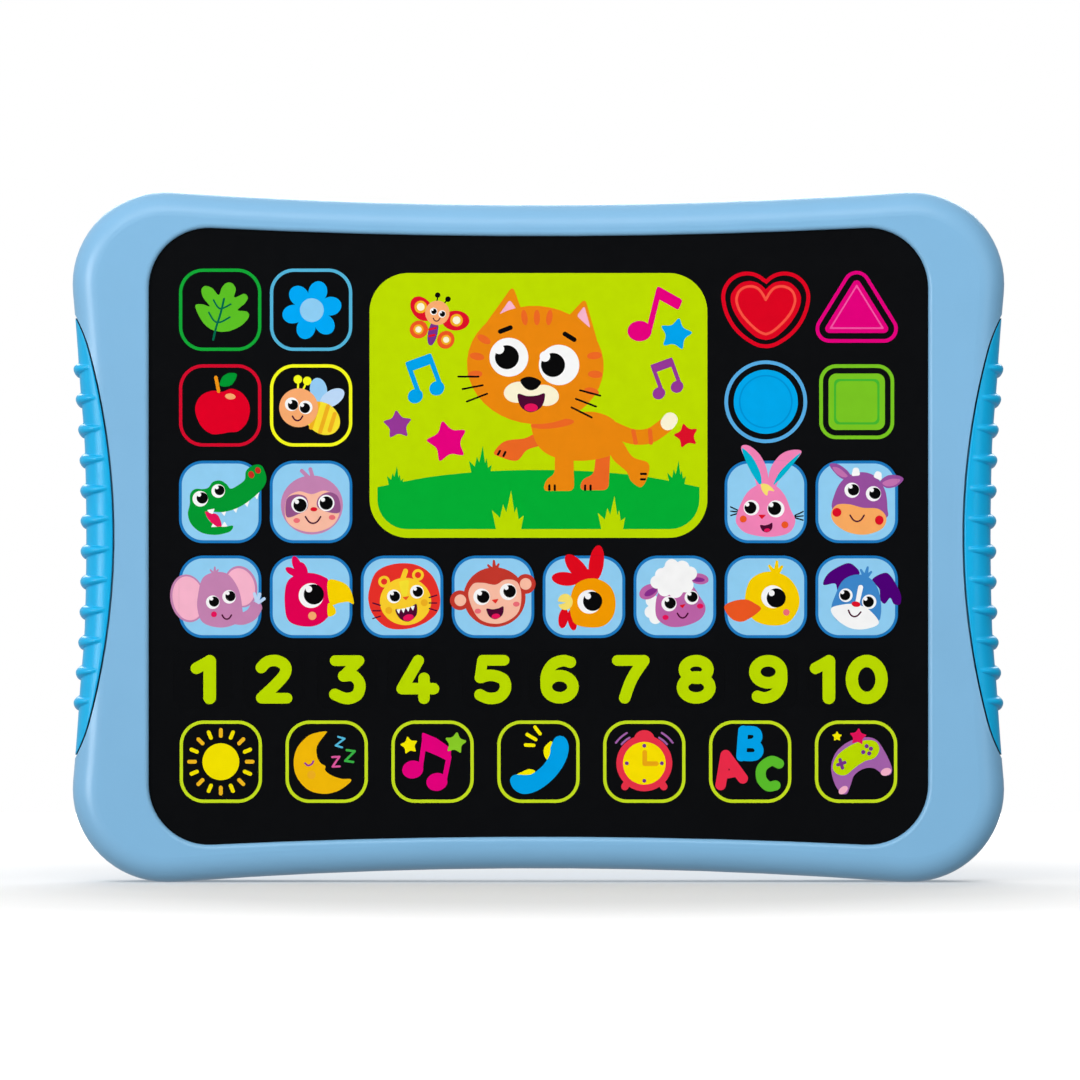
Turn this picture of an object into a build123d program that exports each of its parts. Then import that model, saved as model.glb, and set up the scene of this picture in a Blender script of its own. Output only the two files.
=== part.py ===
"""Toy learning tablet: an ABS case with soft side grips, a black key panel with thirty-seven short-travel
keys, a light-up picture window, and the keypad films, circuit board, speaker and cells inside.

Everything is drawn lying on its back: x to the right, y up the tablet's face and z out of the face.
stand_up() turns the finished pieces into the part's own frame, where the tablet stands on its lower
corners: +X to the right seen from the front, -Y out of the face, +Z up.
"""

import os
from math import hypot, sqrt

from build123d import *

# ---- case outline, millimetres ---------------------------------------------------------------------
DEPTH = 25.0
FRONT, BACK = DEPTH / 2, -DEPTH / 2
EDGE_ROUND = 6.5                 # rounding of the case's front and rear edges
WALL = 2.2
PARTING = 0.0                    # depth at which the two case halves meet
HALF_CORNER = 123.15             # half width at the unrounded corners
TOP_CORNER, LOW_CORNER = 180.2, -2.65
CASE_BOWS = (6.15, 5.5, 6.15)    # how far the sides, top and bottom are drawn in at their middles
HALF_WAIST = HALF_CORNER - CASE_BOWS[0]
CORNER_ROUND = 24.0
MIDDLE = 89.0                    # height of the side waist, the grips and the speaker side of the case
SEAM = 0.1                       # gap between clamped pieces
FOOT_ROUND = 60.0                # rounding between the concave lower edge and the corners' flats

# ---- key panel -------------------------------------------------------------------------------------
PANEL_FACE = FRONT - 1.5         # depth of the panel's face
PANEL_THICK = 2.0
PANEL_BACK = PANEL_FACE - PANEL_THICK
PANEL_HALF = 100.2
PANEL_TOP, PANEL_LOW = 169.2, 8.9
PANEL_BOWS = (0.0, 3.0, 2.9)
PANEL_ROUND = 15.5
PANEL_FLANGE = 2.5               # how far the panel runs behind the case's lip
LIP_ROUND = 1.2                  # rounding of the bezel where it drops to the panel

# ---- keys ------------------------------------------------------------------------------------------
COLUMN_PITCH = 23.38
ROW_HEIGHTS = (147.3, 122.7, 97.9, 73.5)
DIGIT_HEIGHT = 52.3
LOW_ROW_HEIGHT, LOW_ROW_PITCH = 31.1, 27.22
DIGIT_CENTRES = (-86.2, -68.1, -49.2, -31.2, -11.9, 5.1, 23.3, 40.2, 58.8, 79.7)
TILE, TILE_ROUND = 21.2, 6.2
DIGIT_KEY, DIGIT_KEY_ROUND = (15.4, 14.8), 3.0
LAST_DIGIT_WIDTH = 21.0
DISC_RADIUS = 10.65
SQUARE, SQUARE_ROUND = 19.3, 4.4
TRIANGLE_HALF, TRIANGLE_TOP, TRIANGLE_LOW, TRIANGLE_ROUND = 13.45, 12.55, -9.25, 3.6
TRIANGLE_LIFT = 0.75             # the triangle sits this much above its row
SHAPE_LIFT = 0.95                # the circle and the square sit this much above theirs
KEY_GAP = 0.12                   # slit around each key
KEY_TRAVEL = 0.5
KEY_FLANGE, KEY_FLANGE_THICK = 0.5, 0.8
PILL_RADIUS, PILL_HEIGHT = 4.5, 0.7
FLANGE_TOP = PANEL_BACK - 0.05
FLANGE_LOW = FLANGE_TOP - KEY_FLANGE_THICK
PILL_LOW = FLANGE_LOW - PILL_HEIGHT

# ---- picture window --------------------------------------------------------------------------------
WINDOW_WIDTH, WINDOW_HEIGHT, WINDOW_ROUND = 86.6, 67.8, 9.7
WINDOW_CENTRE = ROW_HEIGHTS[1]
WINDOW_STEP = 1.0                # flange behind the panel
LIGHT_HOLE = (64.0, 46.0)        # opening in the films behind the window

# ---- keypad films and backing plate ----------------------------------------------------------------
SPACER_TOP = FLANGE_LOW - KEY_TRAVEL - 0.05
FILM_TOP = PILL_LOW - KEY_TRAVEL - 0.05
FILM_THICK = 0.3
SPACER_HOLE = PILL_RADIUS + 1.5
PLATE_TOP = FILM_TOP - FILM_THICK - 0.05
PLATE_THICK = 1.8
PLATE_BACK = PLATE_TOP - PLATE_THICK
PLATE_SCREWS = [(x, y) for x in (-96.4, 96.4) for y in (42.0, 110.0)] + [
    (x, y) for x in (-50.0, 50.0) for y in (15.6, 162.3)
]
PLATE_BOSS_RADIUS = 2.6
TAIL_CENTRE, TAIL_WIDTH, TAIL_HEIGHT = -62.0, 14.0, 116.0

# ---- case screws -----------------------------------------------------------------------------------
CORNER_SCREWS = [(x, y) for x in (-103.5, 103.5) for y in (13.0, 165.0)]
MIDDLE_SCREWS = [(x, 76.0) for x in (-60.0, 60.0)]
SCREW_SHANK, SCREW_HEAD, SCREW_HEAD_HIGH = 1.3, 2.5, 1.8
SHANK_CLEARANCE = 0.05
SCREW_SEAT = -4.5
PILLAR_RADIUS, BOSS_RADIUS = 4.2, 3.5

# ---- grips -----------------------------------------------------------------------------------------
GRIP_DROP = 0.5                  # the grips lie this much under the case's surface
GRIP_THICK = 2.1
GRIP_GROOVE = 0.5
GRIP_EDGE, GRIP_ARC = 108.9, 181.0   # inner border at the waist, and its radius
GRIP_SHOULDER, GRIP_TIP = 47.5, (122.0, 61.0)
RIB_COUNT, RIB_PITCH = 12, 7.8
RIB_WIDTH, RIB_HIGH = 2.6, 1.4
RIB_INSET = 1.8                  # distance from the ribs' ends to the grip's inner border
GRIP_PEG_RADIUS, GRIP_PEG_SPREAD = 2.0, 30.0

# ---- battery bay and door --------------------------------------------------------------------------
BAY_CENTRE = 58.0
BAY_WIDTH, BAY_HEIGHT = 51.0, 33.6
CELL_RADIUS, CELL_LENGTH = 5.2, 43.4     # AAA cells
CELL_PITCH = 10.9
DOOR_WIDTH, DOOR_HEIGHT, DOOR_ROUND = 78.0, 43.0, 5.0
DOOR_THICK = 2.0
DOOR_GAP = 0.25
LEDGE_THICK = 1.5
DOOR_SCREW_X = 32.5
DOOR_POST_RADIUS, DOOR_BOSS_RADIUS = 6.2, 4.4
BAY_FLOOR = BACK + DOOR_THICK + 2 * CELL_RADIUS + 0.6
BAY_WALL = 1.4

# ---- board, switch and speaker ---------------------------------------------------------------------
BOARD_CENTRE, BOARD_SIZE = (-62.0, 111.0), (56.0, 44.0)
BOARD_THICK = 1.6
BOARD_BACK = -2.6
BOARD_FRONT = BOARD_BACK + BOARD_THICK
BOARD_SCREWS = [(-86.0, 93.0), (-38.0, 93.0), (-86.0, 129.0), (-38.0, 129.0)]
SWITCH_CENTRE = (-62.0, 124.0)
SWITCH_TRAVEL = 6.0
SWITCH_NUB = (5.0, 4.4)
SWITCH_SLOT = (SWITCH_NUB[0] + SWITCH_TRAVEL + 0.6, SWITCH_NUB[1] + 0.5)
SWITCH_RECESS = (22.0, 10.0)
SPEAKER_CENTRE, SPEAKER_RADIUS = (60.0, 122.0), 20.0
SPEAKER_FACE = BACK + WALL + 0.1
GRILLE_HOLE, GRILLE_PITCH, GRILLE_RINGS = 1.25, 4.4, 3
LED_X = 12.0
LEAD_RADIUS = 0.65


def slab(profile, low, high):
    """The solid between two depths with this outline."""
    return extrude(Pos(0, 0, low) * profile, amount=high - low, dir=(0, 0, 1))


def disc(centre, radius, low, high):
    return slab(Pos(*centre) * Circle(radius), low, high)


def block(centre, size, low, high):
    return slab(Pos(*centre) * Rectangle(*size), low, high)


def joined(pieces):
    """Several separate solids as one compound."""
    return Compound(children=[solid for piece in pieces for solid in piece.solids()])


# ---- outlines --------------------------------------------------------------------------------------
def drawn_in(half_width, low, high, bows, inset=0.0):
    """A sharp-cornered rectangle whose sides bow inwards, drawn in by the inset on every side.

    The bows are how far the middles of the sides, the top and the bottom lie inside the corners.
    """
    side, upper, lower = bows
    middle, half_height = (high + low) / 2, (high - low) / 2
    half_base = half_width + 4 if side else half_width - inset
    face = Pos(0, middle) * Rectangle(2 * half_base, 2 * half_height + 12)
    if side:
        radius = (half_height**2 + side**2) / (2 * side)
        for s in (-1, 1):
            face -= Pos(s * (half_width - side + radius), middle) * Circle(radius + inset)
    radius = (half_width**2 + upper**2) / (2 * upper)
    face -= Pos(0, high - upper + radius) * Circle(radius + inset)
    radius = (half_width**2 + lower**2) / (2 * lower)
    face -= Pos(0, low + lower - radius) * Circle(radius + inset)
    return face


def case_outline(inset=0.0):
    """The case's plan: its lower corners are cut to a short flat at height 0 for standing on."""
    face = drawn_in(HALF_CORNER, LOW_CORNER, TOP_CORNER, CASE_BOWS, inset)
    face &= Pos(0, 150 + inset) * Rectangle(300, 300)
    inner = [v for v in face.vertices() if abs(v.X) < HALF_CORNER - 10]
    face = fillet(inner, FOOT_ROUND - inset)
    outer = sorted(face.vertices(), key=lambda v: abs(v.X))[-4:]
    return fillet(outer, CORNER_ROUND - inset)


def panel_outline(inset=0.0):
    face = drawn_in(PANEL_HALF, PANEL_LOW, PANEL_TOP, PANEL_BOWS, inset)
    return fillet(face.vertices(), PANEL_ROUND - inset)


def grip_region():
    """Plan of the left grip, from its inner border to well outside the case."""
    drop = GRIP_ARC - sqrt(GRIP_ARC**2 - GRIP_SHOULDER**2)
    shoulder_x = -(GRIP_EDGE + drop)
    high, low = MIDDLE + GRIP_SHOULDER, MIDDLE - GRIP_SHOULDER
    slope = (-GRIP_SHOULDER / GRIP_ARC, sqrt(1 - (GRIP_SHOULDER / GRIP_ARC) ** 2))
    tip_high, tip_low = (-GRIP_TIP[0], MIDDLE + GRIP_TIP[1]), (-GRIP_TIP[0], MIDDLE - GRIP_TIP[1])
    outside = -GRIP_TIP[0] - 10
    border = ThreePointArc((shoulder_x, low), (-GRIP_EDGE, MIDDLE), (shoulder_x, high))
    top_curl = TangentArc((shoulder_x, high), tip_high, tangent=slope)
    low_curl = TangentArc((shoulder_x, low), tip_low, tangent=(slope[0], -slope[1]))
    back = Polyline(tip_high, (outside, tip_high[1]), (outside, tip_low[1]), tip_low)
    return make_face([border, top_curl, back, low_curl])


def heart_outline():
    side, low_side, tip = (11.45, 2.7), (3.93, 8.7), 9.9
    pieces = []
    for s in (-1, 1):
        pieces.append(ThreePointArc((0, 7.8), (s * 5.6, 9.8), (s * side[0], side[1])))
        pieces.append(ThreePointArc((s * side[0], side[1]), (s * 9.5, -3.3), (s * low_side[0], -low_side[1])))
    pieces.append(ThreePointArc((-low_side[0], -low_side[1]), (0, -tip), (low_side[0], -low_side[1])))
    return make_face(pieces)


def triangle_outline():
    corners = Polyline((-TRIANGLE_HALF, TRIANGLE_LOW), (TRIANGLE_HALF, TRIANGLE_LOW), (0, TRIANGLE_TOP),
                       close=True)
    face = make_face(corners)
    return fillet(face.vertices(), TRIANGLE_ROUND)


def key_plans():
    """Each key's name, centre and outline about that centre."""
    tile = RectangleRounded(TILE, TILE, TILE_ROUND)
    columns = [(i - 3.5) * COLUMN_PITCH for i in range(8)]
    outer = (0, 1, 6, 7)
    plans = []
    for name, column in zip(("leaf", "flower", "heart", "triangle"), outer):
        shape = {"heart": heart_outline(), "triangle": triangle_outline()}.get(name, tile)
        lift = TRIANGLE_LIFT if name == "triangle" else 0.0
        plans.append((name, (columns[column], ROW_HEIGHTS[0] + lift), shape))
    for name, column in zip(("apple", "bee", "circle", "square"), outer):
        shape = {
            "circle": Circle(DISC_RADIUS),
            "square": RectangleRounded(SQUARE, SQUARE, SQUARE_ROUND),
        }.get(name, tile)
        lift = SHAPE_LIFT if name in ("circle", "square") else 0.0
        plans.append((name, (columns[column], ROW_HEIGHTS[1] + lift), shape))
    for name, column in zip(("crocodile", "sloth", "rabbit", "cow"), outer):
        plans.append((name, (columns[column], ROW_HEIGHTS[2]), tile))
    for column, name in enumerate(
        ("elephant", "parrot", "lion", "monkey", "rooster", "sheep", "duck", "puppy")
    ):
        plans.append((name, (columns[column], ROW_HEIGHTS[3]), tile))
    for i, x in enumerate(DIGIT_CENTRES):
        width = LAST_DIGIT_WIDTH if i == 9 else DIGIT_KEY[0]
        shape = RectangleRounded(width, DIGIT_KEY[1], DIGIT_KEY_ROUND)
        plans.append((f"number_{i + 1}", (x, DIGIT_HEIGHT), shape))
    for i, name in enumerate(("sun", "moon", "music", "phone", "clock", "letters", "gamepad")):
        plans.append((name, ((i - 3) * LOW_ROW_PITCH, LOW_ROW_HEIGHT), tile))
    return plans


# ---- case ------------------------------------------------------------------------------------------
def rounded_slab(profile, low, high, radius):
    solid = slab(profile, low, high)
    rims = solid.edges().group_by(Axis.Z)
    return fillet(rims[0] + rims[-1], radius)


def inset_body(inset):
    """The case's outer shape, drawn in by the same distance on every side."""
    return rounded_slab(case_outline(inset), BACK + inset, FRONT - inset, max(EDGE_ROUND - inset, 0.6))


def both_sides(piece):
    return piece + mirror(piece, about=Plane.YZ)


def case_shell(body):
    """The closed case wall, with a pocket on each side for the grips."""
    pocket_depth = GRIP_DROP + GRIP_THICK + SEAM
    pocket_floor = inset_body(pocket_depth)
    region = slab(grip_region(), BACK - 1, FRONT + 1)
    wide_region = slab(offset(grip_region(), amount=WALL), BACK - 1, FRONT + 1)
    cavity = inset_body(WALL) - both_sides(wide_region)
    cavity += inset_body(pocket_depth + WALL)
    pockets = both_sides(region) - pocket_floor
    return body - pockets - cavity


def grip():
    """The left grip: a band that wraps the case's edge, with ribs across it and two pegs inside."""
    plan = offset(grip_region(), amount=-GRIP_GROOVE)
    band = inset_body(GRIP_DROP) - inset_body(GRIP_DROP + GRIP_THICK)
    band &= slab(plan, BACK, FRONT)
    ridge = rounded_slab(case_outline(GRIP_DROP - RIB_HIGH), BACK + 0.2, FRONT - 0.2, EDGE_ROUND)
    ridge -= inset_body(GRIP_DROP + GRIP_THICK)
    rib_plan = Sketch()
    for i in range(RIB_COUNT):
        height = MIDDLE + (i - (RIB_COUNT - 1) / 2) * RIB_PITCH
        rib_plan += Pos(-GRIP_EDGE - 10, height) * Rectangle(30, RIB_WIDTH)
    rib_plan &= offset(grip_region(), amount=-GRIP_GROOVE - RIB_INSET)
    ribs = ridge & slab(rib_plan, BACK - 2, FRONT + 2)
    waist = -HALF_WAIST + GRIP_DROP + GRIP_THICK
    pegs = [
        Pos(waist, MIDDLE + s * GRIP_PEG_SPREAD, PARTING) * Rot(0, 90, 0) * Cylinder(GRIP_PEG_RADIUS, 9)
        for s in (-1, 1)
    ]
    peg_keep = inset_body(GRIP_DROP + 0.5)
    return band + ribs + (pegs[0] & peg_keep) + (pegs[1] & peg_keep)


def peg_holes():
    """Holes for the grips' pegs, half in each case half."""
    holes = [
        Pos(s * (HALF_WAIST - 2), MIDDLE + t * GRIP_PEG_SPREAD, PARTING)
        * Rot(0, 90, 0) * Cylinder(GRIP_PEG_RADIUS + SEAM, 16)
        for s in (-1, 1) for t in (-1, 1)
    ]
    return holes[0] + holes[1] + holes[2] + holes[3]


def front_housing(shell):
    """The bezel: the front half of the shell, open for the panel, with a lip over the panel's flange."""
    inside = inset_body(1.0)
    front = shell & block((0, MIDDLE), (300, 300), PARTING + SEAM / 2, FRONT + 1)
    for centre in CORNER_SCREWS:
        front += disc(centre, BOSS_RADIUS, PARTING + SEAM / 2, FRONT - 1) & inside
    front -= slab(panel_outline(-PANEL_FLANGE - SEAM), PARTING - 1, PANEL_FACE + SEAM / 2)
    front -= slab(panel_outline(), PANEL_FACE - 1, FRONT + 1)
    rim = front.edges().filter_by_position(Axis.Z, FRONT - 0.01, FRONT + 0.01)
    rim = [e for e in rim if hypot(e.center().X, e.center().Y - MIDDLE) < 102]
    front = fillet(rim, LIP_ROUND)
    for centre in CORNER_SCREWS:
        front -= disc(centre, SCREW_SHANK + SHANK_CLEARANCE, PARTING - 1, FRONT - 6)
    return front - peg_holes() - seam_groove()


def seam_groove():
    """A shallow shadow line around the case where its halves meet."""
    band = block((0, MIDDLE), (300, 300), PARTING - 0.3, PARTING + 0.3)
    return band - slab(case_outline(0.4), PARTING - 1, PARTING + 1)


def rear_housing(shell):
    """The back: pillars for the screws, the battery bay, the board posts and the speaker ring."""
    inside = inset_body(1.0)
    rear = shell & block((0, MIDDLE), (300, 300), BACK - 1, PARTING - SEAM / 2)
    for centre in CORNER_SCREWS:
        rear += disc(centre, PILLAR_RADIUS, BACK + 1, PARTING - SEAM / 2) & inside
    for centre in MIDDLE_SCREWS:
        rear += disc(centre, PILLAR_RADIUS, BACK + 1, PARTING - SEAM / 2)
    for centre in BOARD_SCREWS:
        rear += disc(centre, 3.0, BACK + 1, BOARD_BACK - 0.02)
    ring = disc(SPEAKER_CENTRE, SPEAKER_RADIUS + 1.8, BACK + 1, SPEAKER_FACE + 5)
    rear += ring - disc(SPEAKER_CENTRE, SPEAKER_RADIUS + 0.2, BACK, FRONT)
    rear = rear + bay_walls() - bay_space()
    for centre in CORNER_SCREWS + MIDDLE_SCREWS:
        rear -= disc(centre, SCREW_HEAD + 0.3, BACK - 1, SCREW_SEAT)
        rear -= disc(centre, SCREW_SHANK + 0.2, BACK, FRONT)
    for centre in BOARD_SCREWS:
        rear -= disc(centre, SCREW_SHANK + SHANK_CLEARANCE, BOARD_BACK - 6, FRONT)
    for centre in grille_holes():
        rear -= disc(centre, GRILLE_HOLE, BACK - 1, SPEAKER_FACE)
    recess = RectangleRounded(*SWITCH_RECESS, 2.5)
    rear -= slab(Pos(*SWITCH_CENTRE) * recess, BACK - 1, BACK + 1.0)
    slot = RectangleRounded(*SWITCH_SLOT, 1.0)
    rear -= slab(Pos(*SWITCH_CENTRE) * slot, BACK - 1, BACK + WALL + 1)
    return rear - peg_holes() - seam_groove()


def bay_walls():
    """The ledge under the door, the walls and floor of the cell bay, and the door's screw posts."""
    centre = (0, BAY_CENTRE)
    ledge_plan = RectangleRounded(DOOR_WIDTH + 4, DOOR_HEIGHT + 4, DOOR_ROUND + 2)
    ledge_top = BACK + DOOR_THICK + LEDGE_THICK
    walls = slab(Pos(*centre) * ledge_plan, BACK + 1, ledge_top)
    walls += block(centre, (BAY_WIDTH + 2 * BAY_WALL, BAY_HEIGHT + 2 * BAY_WALL), BACK + 1,
                   BAY_FLOOR + BAY_WALL)
    for s in (-1, 1):
        walls += disc((s * DOOR_SCREW_X, BAY_CENTRE), DOOR_POST_RADIUS, BACK + 1, -2.5)
    return walls


def bay_space():
    """What is cut out for the door, the cells, the contact tabs and the door's screws."""
    centre = (0, BAY_CENTRE)
    door_plan = RectangleRounded(DOOR_WIDTH + 2 * DOOR_GAP, DOOR_HEIGHT + 2 * DOOR_GAP,
                                 DOOR_ROUND + DOOR_GAP)
    space = slab(Pos(*centre) * door_plan, BACK - 1, BACK + DOOR_THICK + 0.05)
    space += block(centre, (BAY_WIDTH, BAY_HEIGHT), BACK, BAY_FLOOR)
    for s in (-1, 1):
        post = (s * DOOR_SCREW_X, BAY_CENTRE)
        space += disc(post, DOOR_BOSS_RADIUS + 0.2, BACK, BACK + DOOR_THICK + 2.0)
        space += disc(post, SCREW_SHANK + SHANK_CLEARANCE, BACK, -3.4)
        space += block((s * (BAY_WIDTH / 2 - 0.6), BAY_CENTRE + CELL_PITCH), (1.0, 4.6), BAY_FLOOR - 1,
                       BAY_FLOOR + 3)
    return space


def grille_holes():
    """Sound holes on rings around the speaker's axis."""
    centres = [SPEAKER_CENTRE]
    for ring in range(1, GRILLE_RINGS + 1):
        centres += [
            (SPEAKER_CENTRE[0] + place.X, SPEAKER_CENTRE[1] + place.Y)
            for place in (loc.position for loc in PolarLocations(ring * GRILLE_PITCH, 6 * ring))
        ]
    return centres


# ---- front panel, keys and films -------------------------------------------------------------------
def front_panel(plans):
    """The black panel: an opening for each key and for the window, and bosses for the backing plate."""
    panel = slab(panel_outline(), PANEL_BACK, PANEL_FACE)
    panel += slab(panel_outline(-PANEL_FLANGE), PANEL_BACK, PANEL_FACE - 0.05)
    for centre in PLATE_SCREWS:
        panel += disc(centre, PLATE_BOSS_RADIUS, PLATE_TOP + 0.05, PANEL_BACK + 0.5)
    window = RectangleRounded(WINDOW_WIDTH, WINDOW_HEIGHT, WINDOW_ROUND)
    openings = Pos(0, WINDOW_CENTRE) * window
    for _, centre, shape in plans:
        openings += Pos(*centre) * shape
    panel -= slab(openings, PLATE_TOP, FRONT)
    for centre in PLATE_SCREWS:
        panel -= disc(centre, 1.1 + SHANK_CLEARANCE, PLATE_TOP - 1, PANEL_BACK + 0.8)
    return panel


def key(centre, shape):
    """One key: a cap flush with the panel, a flange that keeps it in, and the pill that presses the film."""
    solid = slab(offset(shape, amount=-KEY_GAP), FLANGE_LOW, PANEL_FACE)
    solid += slab(offset(shape, amount=KEY_FLANGE), FLANGE_LOW, FLANGE_TOP)
    solid += disc((0, 0), PILL_RADIUS, PILL_LOW, FLANGE_LOW + 0.2)
    return Pos(*centre, 0) * solid


def picture_window():
    window = RectangleRounded(WINDOW_WIDTH - 2 * KEY_GAP, WINDOW_HEIGHT - 2 * KEY_GAP, WINDOW_ROUND)
    flange = RectangleRounded(WINDOW_WIDTH + 2 * WINDOW_STEP, WINDOW_HEIGHT + 2 * WINDOW_STEP,
                              WINDOW_ROUND + WINDOW_STEP)
    piece = slab(window, FLANGE_LOW, PANEL_FACE) + slab(flange, FLANGE_LOW, FLANGE_TOP)
    return Pos(0, WINDOW_CENTRE, 0) * piece


def keypad_sheet(low, high, plans, hole_radius):
    """A film behind the keys, open at the window and round the plate's bosses."""
    sheet = slab(panel_outline(1.0), low, high)
    sheet -= block((0, WINDOW_CENTRE), LIGHT_HOLE, low - 1, high + 1)
    for centre in PLATE_SCREWS:
        sheet -= disc(centre, PLATE_BOSS_RADIUS + 0.6, low - 1, high + 1)
    for _, centre, _ in plans if hole_radius else []:
        sheet -= disc(centre, hole_radius, low - 1, high + 1)
    return sheet


def contact_film(plans):
    """The printed contact film, with the tail that runs back to the board's connector."""
    film = keypad_sheet(FILM_TOP - FILM_THICK, FILM_TOP, plans, 0)
    tail = block((TAIL_CENTRE, TAIL_HEIGHT), (TAIL_WIDTH, FILM_THICK), BOARD_FRONT + 2.0, FILM_TOP)
    return film + tail


def backing_plate():
    """The stiff plate behind the films, screwed to the panel's bosses."""
    plate = slab(panel_outline(-1.5), PLATE_BACK, PLATE_TOP)
    plate -= block((TAIL_CENTRE, TAIL_HEIGHT), (TAIL_WIDTH + 2, 2.4), PLATE_BACK - 1, PLATE_TOP + 1)
    for s in (-1, 1):
        plate -= disc((s * LED_X, WINDOW_CENTRE), 2.8, PLATE_BACK - 1, PLATE_TOP + 1)
    for centre in MIDDLE_SCREWS:
        plate += disc(centre, BOSS_RADIUS, PARTING + SEAM, PLATE_BACK + 0.5)
        plate -= disc(centre, SCREW_SHANK + SHANK_CLEARANCE, PARTING - 1, PLATE_BACK + 0.3)
    for centre in PLATE_SCREWS:
        plate -= disc(centre, 1.3, PLATE_BACK - 1, PLATE_TOP + 1)
    return plate


# ---- fasteners -------------------------------------------------------------------------------------
def pan_screw(centre, seat, shank, length, head, head_high):
    """A pan-head screw seen from behind: its head under the seat depth and its shank towards the face."""
    screw = disc((0, 0), shank, seat - 0.2, seat + length)
    dome = disc((0, 0), head, seat - head_high, seat)
    dome = fillet(dome.edges().group_by(Axis.Z)[0], head_high * 0.45)
    slot = block((0, 0), (head * 1.1, 0.5), seat - head_high - 1, seat - head_high * 0.5)
    cross = slot + Rot(0, 0, 90) * slot
    return Pos(*centre, 0) * (screw + dome - cross)


def screws():
    """Every fixed screw: six for the case, eight for the backing plate and four for the board."""
    pieces = [
        pan_screw(c, SCREW_SEAT, SCREW_SHANK, 9.0, SCREW_HEAD, SCREW_HEAD_HIGH) for c in CORNER_SCREWS
    ]
    pieces += [
        pan_screw(c, SCREW_SEAT, SCREW_SHANK, 8.6, SCREW_HEAD, SCREW_HEAD_HIGH) for c in MIDDLE_SCREWS
    ]
    pieces += [pan_screw(c, PLATE_BACK, 1.1, 4.6, 2.1, 1.3) for c in PLATE_SCREWS]
    turned = [pan_screw((0, 0), 0, SCREW_SHANK, 6.5, 2.3, 1.3)] * len(BOARD_SCREWS)
    pieces += [
        Pos(*c, BOARD_FRONT) * Rot(180, 0, 0) * screw for c, screw in zip(BOARD_SCREWS, turned)
    ]
    return joined(pieces)


def door_screw(side):
    """A captive screw of the battery door, its head sunk in the door."""
    seat = BACK + 1.9
    return pan_screw((side * DOOR_SCREW_X, BAY_CENTRE), seat, SCREW_SHANK, 6.6, 2.6, 1.7)


# ---- battery door, cells and contacts --------------------------------------------------------------
def battery_door():
    """The door: a flat plate with finger ridges, and a boss round each captive screw."""
    plan = Pos(0, BAY_CENTRE) * RectangleRounded(DOOR_WIDTH, DOOR_HEIGHT, DOOR_ROUND)
    door = slab(plan, BACK, BACK + DOOR_THICK)
    door = fillet(door.edges().group_by(Axis.Z)[0], 0.4)
    for s in (-1, 1):
        post = (s * DOOR_SCREW_X, BAY_CENTRE)
        door += disc(post, DOOR_BOSS_RADIUS, BACK + 0.5, BACK + DOOR_THICK + 1.8)
        door -= disc(post, 3.0, BACK - 1, BACK + 1.9)
        door -= disc(post, SCREW_SHANK + SHANK_CLEARANCE, BACK - 1, 0)
    for i in range(-2, 3):
        groove = RectangleRounded(16, 0.9, 0.44)
        door -= slab(Pos(0, BAY_CENTRE + 2.2 * i) * groove, BACK - 1, BACK + 0.5)
    return door


def battery_cells():
    """Three cells side by side, every other one turned round."""
    cells = []
    for i in (-1, 0, 1):
        can = Cylinder(CELL_RADIUS, CELL_LENGTH)
        can = fillet(can.edges(), 0.5)
        cell = can + Pos(0, 0, CELL_LENGTH / 2 + 0.4) * Cylinder(1.8, 0.8)
        turn = 90 if i % 2 else -90
        centre = Pos(0, BAY_CENTRE + i * CELL_PITCH, BACK + DOOR_THICK + 0.2 + CELL_RADIUS)
        cells.append(centre * Rot(0, turn, 0) * cell)
    return joined(cells)


def battery_contacts():
    """A plate behind each cell end, with a conical spring of rings at each negative end."""
    pieces = []
    axis_depth = BACK + DOOR_THICK + 0.2 + CELL_RADIUS
    end = BAY_WIDTH / 2 - 0.5
    for i in (-1, 0, 1):
        height = BAY_CENTRE + i * CELL_PITCH
        positive = 1 if i % 2 else -1
        for s in (-1, 1):
            low, high = axis_depth - 4.2, axis_depth + 4.2
            plate = block((s * (end + 0.15), height), (0.3, 8.6), low, high)
            if i == 1:
                plate += block((s * (end + 0.15), height), (0.3, 3.6), low, BAY_FLOOR + 2.6)
            pieces.append(plate)
            if s == -positive:
                for turn, radius in enumerate((3.4, 2.9, 2.4)):
                    ring = Rot(0, 90, 0) * Torus(radius, 0.28)
                    pieces.append(Pos(s * (end - 0.35 - 0.75 * turn), height, axis_depth) * ring)
    return joined(pieces)


# ---- board, switch, speaker and lights -------------------------------------------------------------
def main_board():
    board = slab(Pos(*BOARD_CENTRE) * RectangleRounded(*BOARD_SIZE, 1.5), BOARD_BACK, BOARD_FRONT)
    for centre in BOARD_SCREWS:
        board -= disc(centre, SCREW_SHANK + 0.2, BOARD_BACK - 1, BOARD_FRONT + 1)
    return board


def board_parts():
    """Chip blob, capacitors, small resistors and the film tail's connector, on the board's front."""
    seat = BOARD_FRONT
    pieces = []
    blob = Pos(-52, 103, seat - 3.4) * Sphere(7.0)
    pieces.append(blob & block((-52, 103), (20, 20), seat, seat + 5))
    for x in (-78.0, -70.5):
        can = disc((x, 101), 2.5, seat, seat + 4.2)
        pieces.append(fillet(can.edges().group_by(Axis.Z)[-1], 0.4))
    for i in range(5):
        pieces.append(block((-84 + 3.2 * i, 109), (1.6, 3.0), seat, seat + 0.7))
    housing = block((TAIL_CENTRE, TAIL_HEIGHT), (TAIL_WIDTH + 4, 4.2), seat, seat + 3.2)
    housing -= block((TAIL_CENTRE, TAIL_HEIGHT), (TAIL_WIDTH + 0.4, 0.7), seat + 1.5, seat + 5)
    pieces.append(housing)
    return joined(pieces)


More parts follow.
